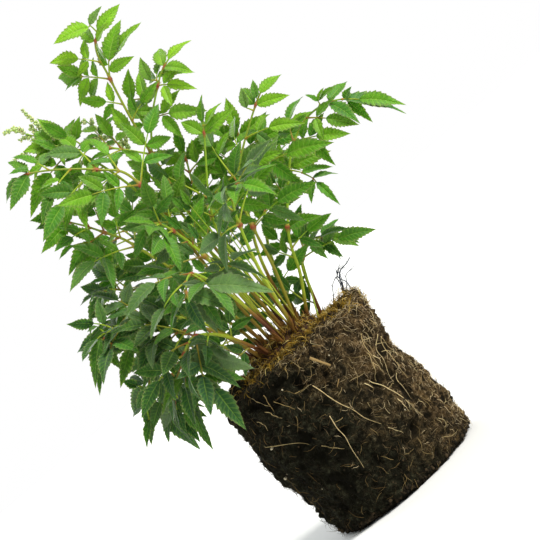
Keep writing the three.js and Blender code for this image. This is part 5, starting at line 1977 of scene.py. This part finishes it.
panicles = (
    {
        "points": ((-4, 1, 155), (-6, 14, 250), (-16, 22, 350), (-36, 26, 415), (-66, 22, 462)),
        "sprigs": 11,
        "length": 22,
        "more": (  # place on the stalk and tip of further sprigs
            (3.2, (-46, 20, 467)),
            (3.45, (-82, 20, 438)),
            (3.3, (-52, 30, 452)),
            (2.2, (-45, 30, 372)),
            (2.7, (-82, 30, 392)),
            (2.45, (-60, 26, 384)),
        ),
    },
    {
        "points": ((-5, 12, 155), (-2, 26, 240), (2, 34, 320), (0, 36, 385), (-10, 32, 426)),
        "sprigs": 8,
        "length": 14,
        "more": ((3.3, (-22, 28, 412)), (2.9, (16, 34, 404))),
    },
)
budShape = {
    "golden": 137.5,
    "apart": 1.0,
    "length": (2.8, 4.4),
    "half": 1.05,
    "axis": (0.8, 0.4),
    "sharp": 60,
    "along": (1.15, 1.1),  # where the sprigs start below the tip of the route, and how far they reach
    "lean": (0.75, 0.66),  # ahead and aside
    "shorter": 0.65,
}


# Buds set round a sprig by the golden angle: pointed ellipsoids that lean ahead, smaller towards the tip.
def sprigSkins(start, tip, seed, skins):
    reach = np.linalg.norm(tip - start)
    ahead = unit(tip - start)
    normal = squared(np.array([0.1, -1.0, 0.2]), ahead)
    across = np.cross(ahead, normal)
    u = np.linspace(0, 1, 9)
    bend = normal * 0.06 * reach * draw(seed, 1) + across * 0.06 * reach * draw(seed, 2)
    path = start + ahead * reach * u[:, None] + bend * np.sin(np.pi * u)[:, None]
    rings = tubeRings(path[None], np.interp(u, (0, 1), budShape["axis"])[None], normal[None], 6)
    skins.add(rings, path[:1], path[-1:], budLook=(0.35, 0.3, 0))
    count = int(reach / budShape["apart"]) + 2
    share = np.linspace(0.1, 1.0, count)
    turn = np.radians(budShape["golden"]) * np.arange(count) + seed
    spoke = normal * np.cos(turn)[:, None] + across * np.sin(turn)[:, None]
    foot = start + ahead * reach * share[:, None] + bend * np.sin(np.pi * share)[:, None] + spoke * 0.2
    out = unit(ahead * 0.75 + spoke)
    size = rng.uniform(*budShape["length"], count) * (1.1 - 0.45 * share)
    run = np.array([0.12, 0.45, 0.8])
    path = foot[:, None] + out[:, None] * (size[:, None] * run)[..., None]
    radii = budShape["half"] * np.array([0.7, 1.0, 0.55])[None] * (size / 2.4)[:, None]
    rings = tubeRings(path, radii, np.cross(out, ahead) + 0.01, 5)
    look = (rng.random((count, 1, 1)), run[:, None], 0)
    skins.add(rings, foot, foot + out * size[:, None], budLook=look)


# A young flower panicle: sprigs set round the top of a tapering stalk by the golden angle, and further ones.
def makePanicle(number, plan, budMaterial, stalkMaterial):
    points = np.array(plan["points"], float)
    last = len(points) - 1
    (below, span), (leanAhead, leanAside) = budShape["along"], budShape["lean"]
    ahead = unit(points[-1] - points[-2])
    normal = squared(np.array([0, -1.0, 0]), ahead)
    across = np.cross(ahead, normal)
    sprigs = []
    for index in range(plan["sprigs"]):
        share = index / (plan["sprigs"] - 1)
        start = routeAt(points, last - below + span * share)
        turn = math.radians(budShape["golden"] * index)
        out = leanAhead * ahead + leanAside * (normal * math.cos(turn) + across * math.sin(turn))
        sprigs.append((start, start + out * plan["length"] * (1 - budShape["shorter"] * share)))
    sprigs += [(routeAt(points, place), np.array(tip, float)) for place, tip in plan["more"]]
    skins = Skins()
    for index, (start, tip) in enumerate(sprigs):
        sprigSkins(start, tip, index + 40 * number, skins)
    marks = skins.count
    place = np.linspace(0, last, 60)
    path = routeAt(points, place)
    radius = np.interp(place, (0, last), (2.0, 0.5))
    rings = tubeRings(path[None], radius[None], np.array([[0, -1.0, 0.1]]), 9)
    look = ((0.1 + 0.8 * place / last)[:, None], 0, 0.5)
    skins.add(rings, path[:1], path[-1:], stalkLook=look)
    finishes, nodes = [budMaterial, stalkMaterial], [f"panicle_{number}"]
    makePiece(f"flowers_{number}", skins, finishes, nodes, budShape["sharp"], marks)


def makeFloor(finish):
    mesh = bpy.data.meshes.new("floor")
    half = 30
    corners = [(-half, -half, 0), (half, -half, 0), (half, half, 0), (-half, half, 0)]
    mesh.from_pydata(corners, [], [(0, 1, 2, 3)])
    mesh.materials.append(finish)
    floor = bpy.data.objects.new("floor", mesh)
    bpy.context.scene.collection.objects.link(floor)


# place and colour by tone
strandStops = {
    "pale": [(0.15, (0.16, 0.10, 0.036)), (0.5, (0.48, 0.345, 0.14)), (1.0, (0.86, 0.71, 0.38))],
    "mat": [
        (0.0, (0.008, 0.006, 0.003)),
        (0.22, (0.036, 0.024, 0.011)),
        (0.45, (0.15, 0.096, 0.042)),
        (0.8, (0.72, 0.57, 0.33)),
    ],
    "moss": [
        (0.0, (0.020, 0.012, 0.005)),
        (0.25, (0.062, 0.042, 0.009)),
        (0.5, (0.20, 0.125, 0.014)),
        (0.75, (0.42, 0.240, 0.026)),
        (1.0, (0.62, 0.49, 0.17)),
    ],
    "scale": [(0.0, (0.045, 0.018, 0.007)), (0.5, (0.125, 0.050, 0.013)), (1.0, (0.25, 0.125, 0.028))],
    "crumb": [(0.0, (0.005, 0.004, 0.002)), (0.6, (0.022, 0.016, 0.009)), (1.0, (0.065, 0.045, 0.024))],
    "straw": [(0.0, (0.09, 0.050, 0.018)), (0.6, (0.28, 0.185, 0.072)), (1.0, (0.46, 0.35, 0.18))],
    "wire": [(0.0, (0.003, 0.004, 0.008)), (0.5, (0.010, 0.016, 0.030)), (1.0, (0.035, 0.060, 0.10))],
}

branches = growBranches()
print("leaves and limbs:", len(branches))
placeLeaflets(branches)
taken = allSolids()
fresh = addShoots(branches, taken, addOwnLeaflets(branches, taken))
addExtraStems(branches, taken, fresh)

leafMaterial, stalkMaterial = leafFinish(), stalkFinish()
makeLeaves(branches, leafMaterial, stalkMaterial)
budMaterial = budFinish()
for number, plan in enumerate(panicles, 1):
    makePanicle(number, plan, budMaterial, stalkMaterial)
makeCrown(crownFinish())
makeScales(branches, strandFinish("scale_finish", strandStops["scale"], (0.5, 0.75)))
makeRootBall(soilFinish())
paleMaterial = strandFinish("pale_root_finish", strandStops["pale"])
makePaleRoots(paleMaterial)
makeThreads("root_mat", strandFinish("root_mat_finish", strandStops["mat"]))
makeThreads("fine_roots", paleMaterial)
makeMoss(strandFinish("moss_finish", strandStops["moss"]))
makeCrumbs(strandFinish("crumb_finish", strandStops["crumb"], (0.85, 0.95)))
makePerlite(perliteFinish())
makeStraw(strandFinish("straw_finish", strandStops["straw"]))
makeRootlets(strandFinish("wire_finish", strandStops["wire"], (0.35, 0.6)))
makeFloor(floorFinish())
